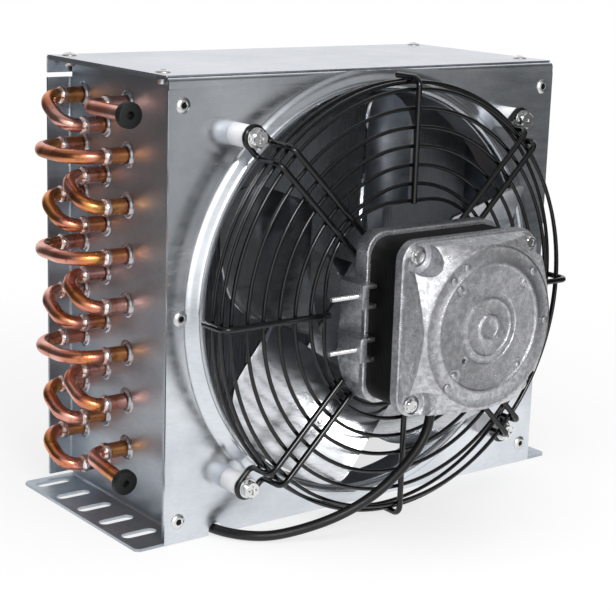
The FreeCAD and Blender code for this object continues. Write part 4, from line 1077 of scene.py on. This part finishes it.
# Lead
def lead():
    """Cord on its route, with the bared cores at its end."""
    curve = bpy.data.curves.new("motor_lead", "CURVE")
    curve.dimensions = "3D"
    curve.bevel_depth = CORD_DIAMETER / 2
    curve.bevel_resolution = 6
    curve.resolution_u = 12
    curve.use_fill_caps = True
    spline = curve.splines.new("NURBS")
    spline.points.add(len(CORD_ROUTE) - 1)
    for point, place in zip(spline.points, CORD_ROUTE):
        point.co = (*place, 1)
    spline.order_u = 3
    spline.use_endpoint_u = True
    cord = add_object("motor_lead", curve)
    curve.materials.append(MATERIALS["cord_jacket"])
    stand_for(cord, "cord_jacket", "power_cord")
    cores = Shape()
    end, before = Vector(CORD_ROUTE[-1]) / MM, Vector(CORD_ROUTE[-2]) / MM
    way = (end - before).normalized()
    side = way.cross(Vector(UP))
    for k in range(3):
        turn = math.radians(90 + 120 * k)
        offset = (side * math.cos(turn) + Vector(UP) * math.sin(turn)) * CORE_ASIDE
        cores.bar([end + offset - way, end + offset + way * 6, end + offset * 1.1 + way * CORE_LENGTH],
                  CORE_R, 16)
    bared = cores.make("bared_cores", "cord_core", "cord_cores")


def strain_relief():
    """Stepped rubber gland under the motor, where the cord comes out."""
    gland = Shape()
    low, high = reach("cable_gland")
    middle = ((low.x + high.x) / 2, (low.y + high.y) / 2, high.z)
    length = high.z - low.z
    profile = [(0, 0), (3.4, 0), (3.4, 2.9), (4.5, 3), (4.5, 4.2), (4, 4.5), (4, 5.2), (4.2, 5.4),
               (4.1, 6.2), (3.7, 6.4), (3.7, 7.1), (3.8, 7.3), (3.6, 8.2), (3.2, length), (0, length)]
    gland.turned(profile, middle, (0, 0, -1), 36)
    gland.make("strain_relief", "gland_rubber", "cable_gland")


def dress_frame():
    """Materials and softened edges for the CAD nodes that stay in view."""
    slots = {row["node"]: row["material_slot"] for row in frame["record"]["subparts"]}
    edges = {"top_panel": 0.3, "left_tube_sheet": 0.3, "right_tube_sheet": 0.3, "stator_stack": 0.2,
             "fan_hub": 0.4}
    for name, node in frame["nodes"].items():
        if node.hide_render:
            continue
        slot = slots[name]
        node.data.materials.clear()
        node.data.materials.append(MATERIALS[SLOT_MATERIALS.get(slot, slot)])
        if name in edges:
            soft_edges(node, edges[name])
        elif name.startswith("fan_blade"):
            soft_edges(node, 0.4)


# Light
def smooth_range(value, start, end, near, far):
    """Output that goes smoothly from near to far while the value goes from start to end."""
    fade = add_node(value.id_data, "MapRange", interpolation_type="SMOOTHSTEP")
    feed(fade, Value=value, From_Min=start, From_Max=end, To_Min=near, To_Max=far)
    return fade.outputs["Result"]


def lobe(tree, way, inner, outer, strength):
    """Soft round patch of the surroundings: full inside one angle and nothing beyond the other."""
    place = add_node(tree, "TexCoord")
    dot = add_node(tree, "VectorMath", operation="DOT_PRODUCT")
    give(dot.inputs[0], place.outputs["Generated"])
    dot.inputs[1].default_value = Vector(way).normalized()
    start, end = math.cos(math.radians(outer)), math.cos(math.radians(inner))
    return smooth_range(dot.outputs["Value"], start, end, 0, strength)


def fold(operation, values):
    """Outputs and numbers taken together, one after another, by one operation."""
    made = values[0]
    for value in values[1:]:
        step = add_node(made.id_data, "Math", operation=operation)
        give(step.inputs[0], made)
        give(step.inputs[1], value)
        made = step.outputs[0]
    return made


# What shiny surfaces see around the object, as (direction, inner angle, outer angle, strength):
# the white backdrop behind it, a bright ceiling, a large soft box before it and its spill
SURROUNDINGS = (
    ((0.55, 0.78, 0.30), 25, 58, 0.95),
    ((0, 0.15, 1), 15, 60, 0.45),
    ((-0.45, -0.87, 0.12), 20, 48, 1.05),
    ((0, -0.98, 0.10), 30, 50, 0.42),
)
WHITE = (1, 1, 1, 1)
DIM = 0.08
PLAIN_LIGHT = 0.55
FLOOR_MIDDLE = (-0.10, -0.08)
FLOOR_R = 0.62
FLOOR_EDGE_R = FLOOR_R * 0.97
FLOOR_POOL_R = 0.28
# The floor's colour, how white the camera sees it near the object, and what shiny surfaces see of its glow
FLOOR_COLOUR = (0.9, 0.9, 0.9)
PAPER_WHITE = 0.72
POOL_SHARE = 0.92
POOL_FAR = 0.12
# Lamps, as (place, size, watts), all aimed at one spot
LAMP_TARGET = (0, 0, 0.11)
LAMPS = {"top": ((-0.15, -0.35, 1.1), 0.9, 7), "key": ((-0.45, -1.25, 0.75), 0.32, 8)}


def light_rays(tree, *names):
    """One where a ray is any of the named kinds, otherwise nought."""
    path = add_node(tree, "LightPath")
    return fold("MAXIMUM", [path.outputs[name] for name in names])


def mix_shaders(factor, first, second):
    mix = add_node(factor.id_data, "MixShader")
    for socket, value in zip(mix.inputs, (factor, first, second)):
        give(socket, value)
    return mix.outputs[0]


def make_world():
    """Plain light for dull surfaces, soft patches for shiny ones, and white for the camera."""
    world = bpy.data.worlds.new("studio")
    bpy.context.scene.world = world
    world.use_nodes = True
    tree = world.node_tree
    plain = tree.nodes["Background"]
    feed(plain, Color=(1, 1, 1), Strength=PLAIN_LIGHT)
    around = add_node(tree, "Background", Color=WHITE)
    feed(around, Strength=fold("ADD", [lobe(tree, *row) for row in SURROUNDINGS] + [DIM]))
    white = add_node(tree, "Background", Strength=1, Color=WHITE)
    shiny = light_rays(tree, "Is Glossy Ray", "Is Transmission Ray")
    lit = mix_shaders(shiny, plain.outputs[0], around.outputs[0])
    seen = mix_shaders(light_rays(tree, "Is Camera Ray"), lit, white.outputs[0])
    feed(tree.nodes["World Output"], Surface=seen)


def make_floor():
    mesh = bpy.data.meshes.new("floor")
    rim = circle(Vector((*FLOOR_MIDDLE, 0)), Vector((1, 0, 0)), Vector((0, 1, 0)), FLOOR_R, 96)
    mesh.from_pydata(rim, [], [range(96)])
    floor = add_object("floor", mesh)
    mesh.materials.append(floor_material())


def make_lamps():
    for name, (place, size, power) in LAMPS.items():
        data = bpy.data.lights.new(name, "AREA")
        data.shape = "RECTANGLE"
        data.energy = power
        data.size = data.size_y = size
        lamp = add_object(name, data)
        lamp.location = place
        lamp.visible_glossy = name == "key"
        aim = Vector(LAMP_TARGET) - lamp.location
        lamp.rotation_mode = "QUATERNION"
        lamp.rotation_quaternion = aim.to_track_quat("-Z", "Y")


def floor_material():
    """White paper that keeps a faint shadow; what shiny surfaces see of it dims away from the object."""
    material, tree, shader = new_material("floor")
    feed(shader, Base_Color=FLOOR_COLOUR, Roughness=1, Specular_IOR_Level=0)
    away = add_node(tree, "VectorMath", operation="DISTANCE")
    give(away.inputs[0], object_place(tree))
    away.inputs[1].default_value = (*FLOOR_MIDDLE, 0)
    distance = away.outputs["Value"]
    white = add_node(tree, "Emission", Strength=1, Color=WHITE)
    fade = smooth_range(distance, FLOOR_POOL_R, FLOOR_EDGE_R, PAPER_WHITE, 1)
    paper = mix_shaders(fade, shader.outputs[0], white.outputs[0])
    pool = add_node(tree, "Emission", Color=WHITE)
    feed(pool, Strength=smooth_range(distance, FLOOR_POOL_R, FLOOR_EDGE_R, 1, POOL_FAR))
    shiny = light_rays(tree, "Is Glossy Ray", "Is Transmission Ray")
    shown = mix_shaders(fold("MULTIPLY", [shiny, POOL_SHARE]), shader.outputs[0], pool.outputs[0])
    seen = mix_shaders(light_rays(tree, "Is Camera Ray"), shown, paper)
    feed(tree.nodes["Material Output"], Surface=seen)
    return material


make_camera()
lead()
strain_relief()
hairpins()
for kind, tubes, out in (("return", NARROW, NARROW_REACH), ("crossover", WIDE, WIDE_REACH)):
    for number, pair in enumerate(tubes, 1):
        bend("%s_bend_%d" % (kind, number), pair, out)
connection("inlet", INLET)
connection("outlet", OUTLET)
collars()
brazing()
fin_stack()
front_panel()
rivet_heads()
guard()
guard_fixings()
motor()
rear_shell()
dress_frame()
bpy.context.scene.view_settings.view_transform = "Standard"
make_world()
make_floor()
make_lamps()
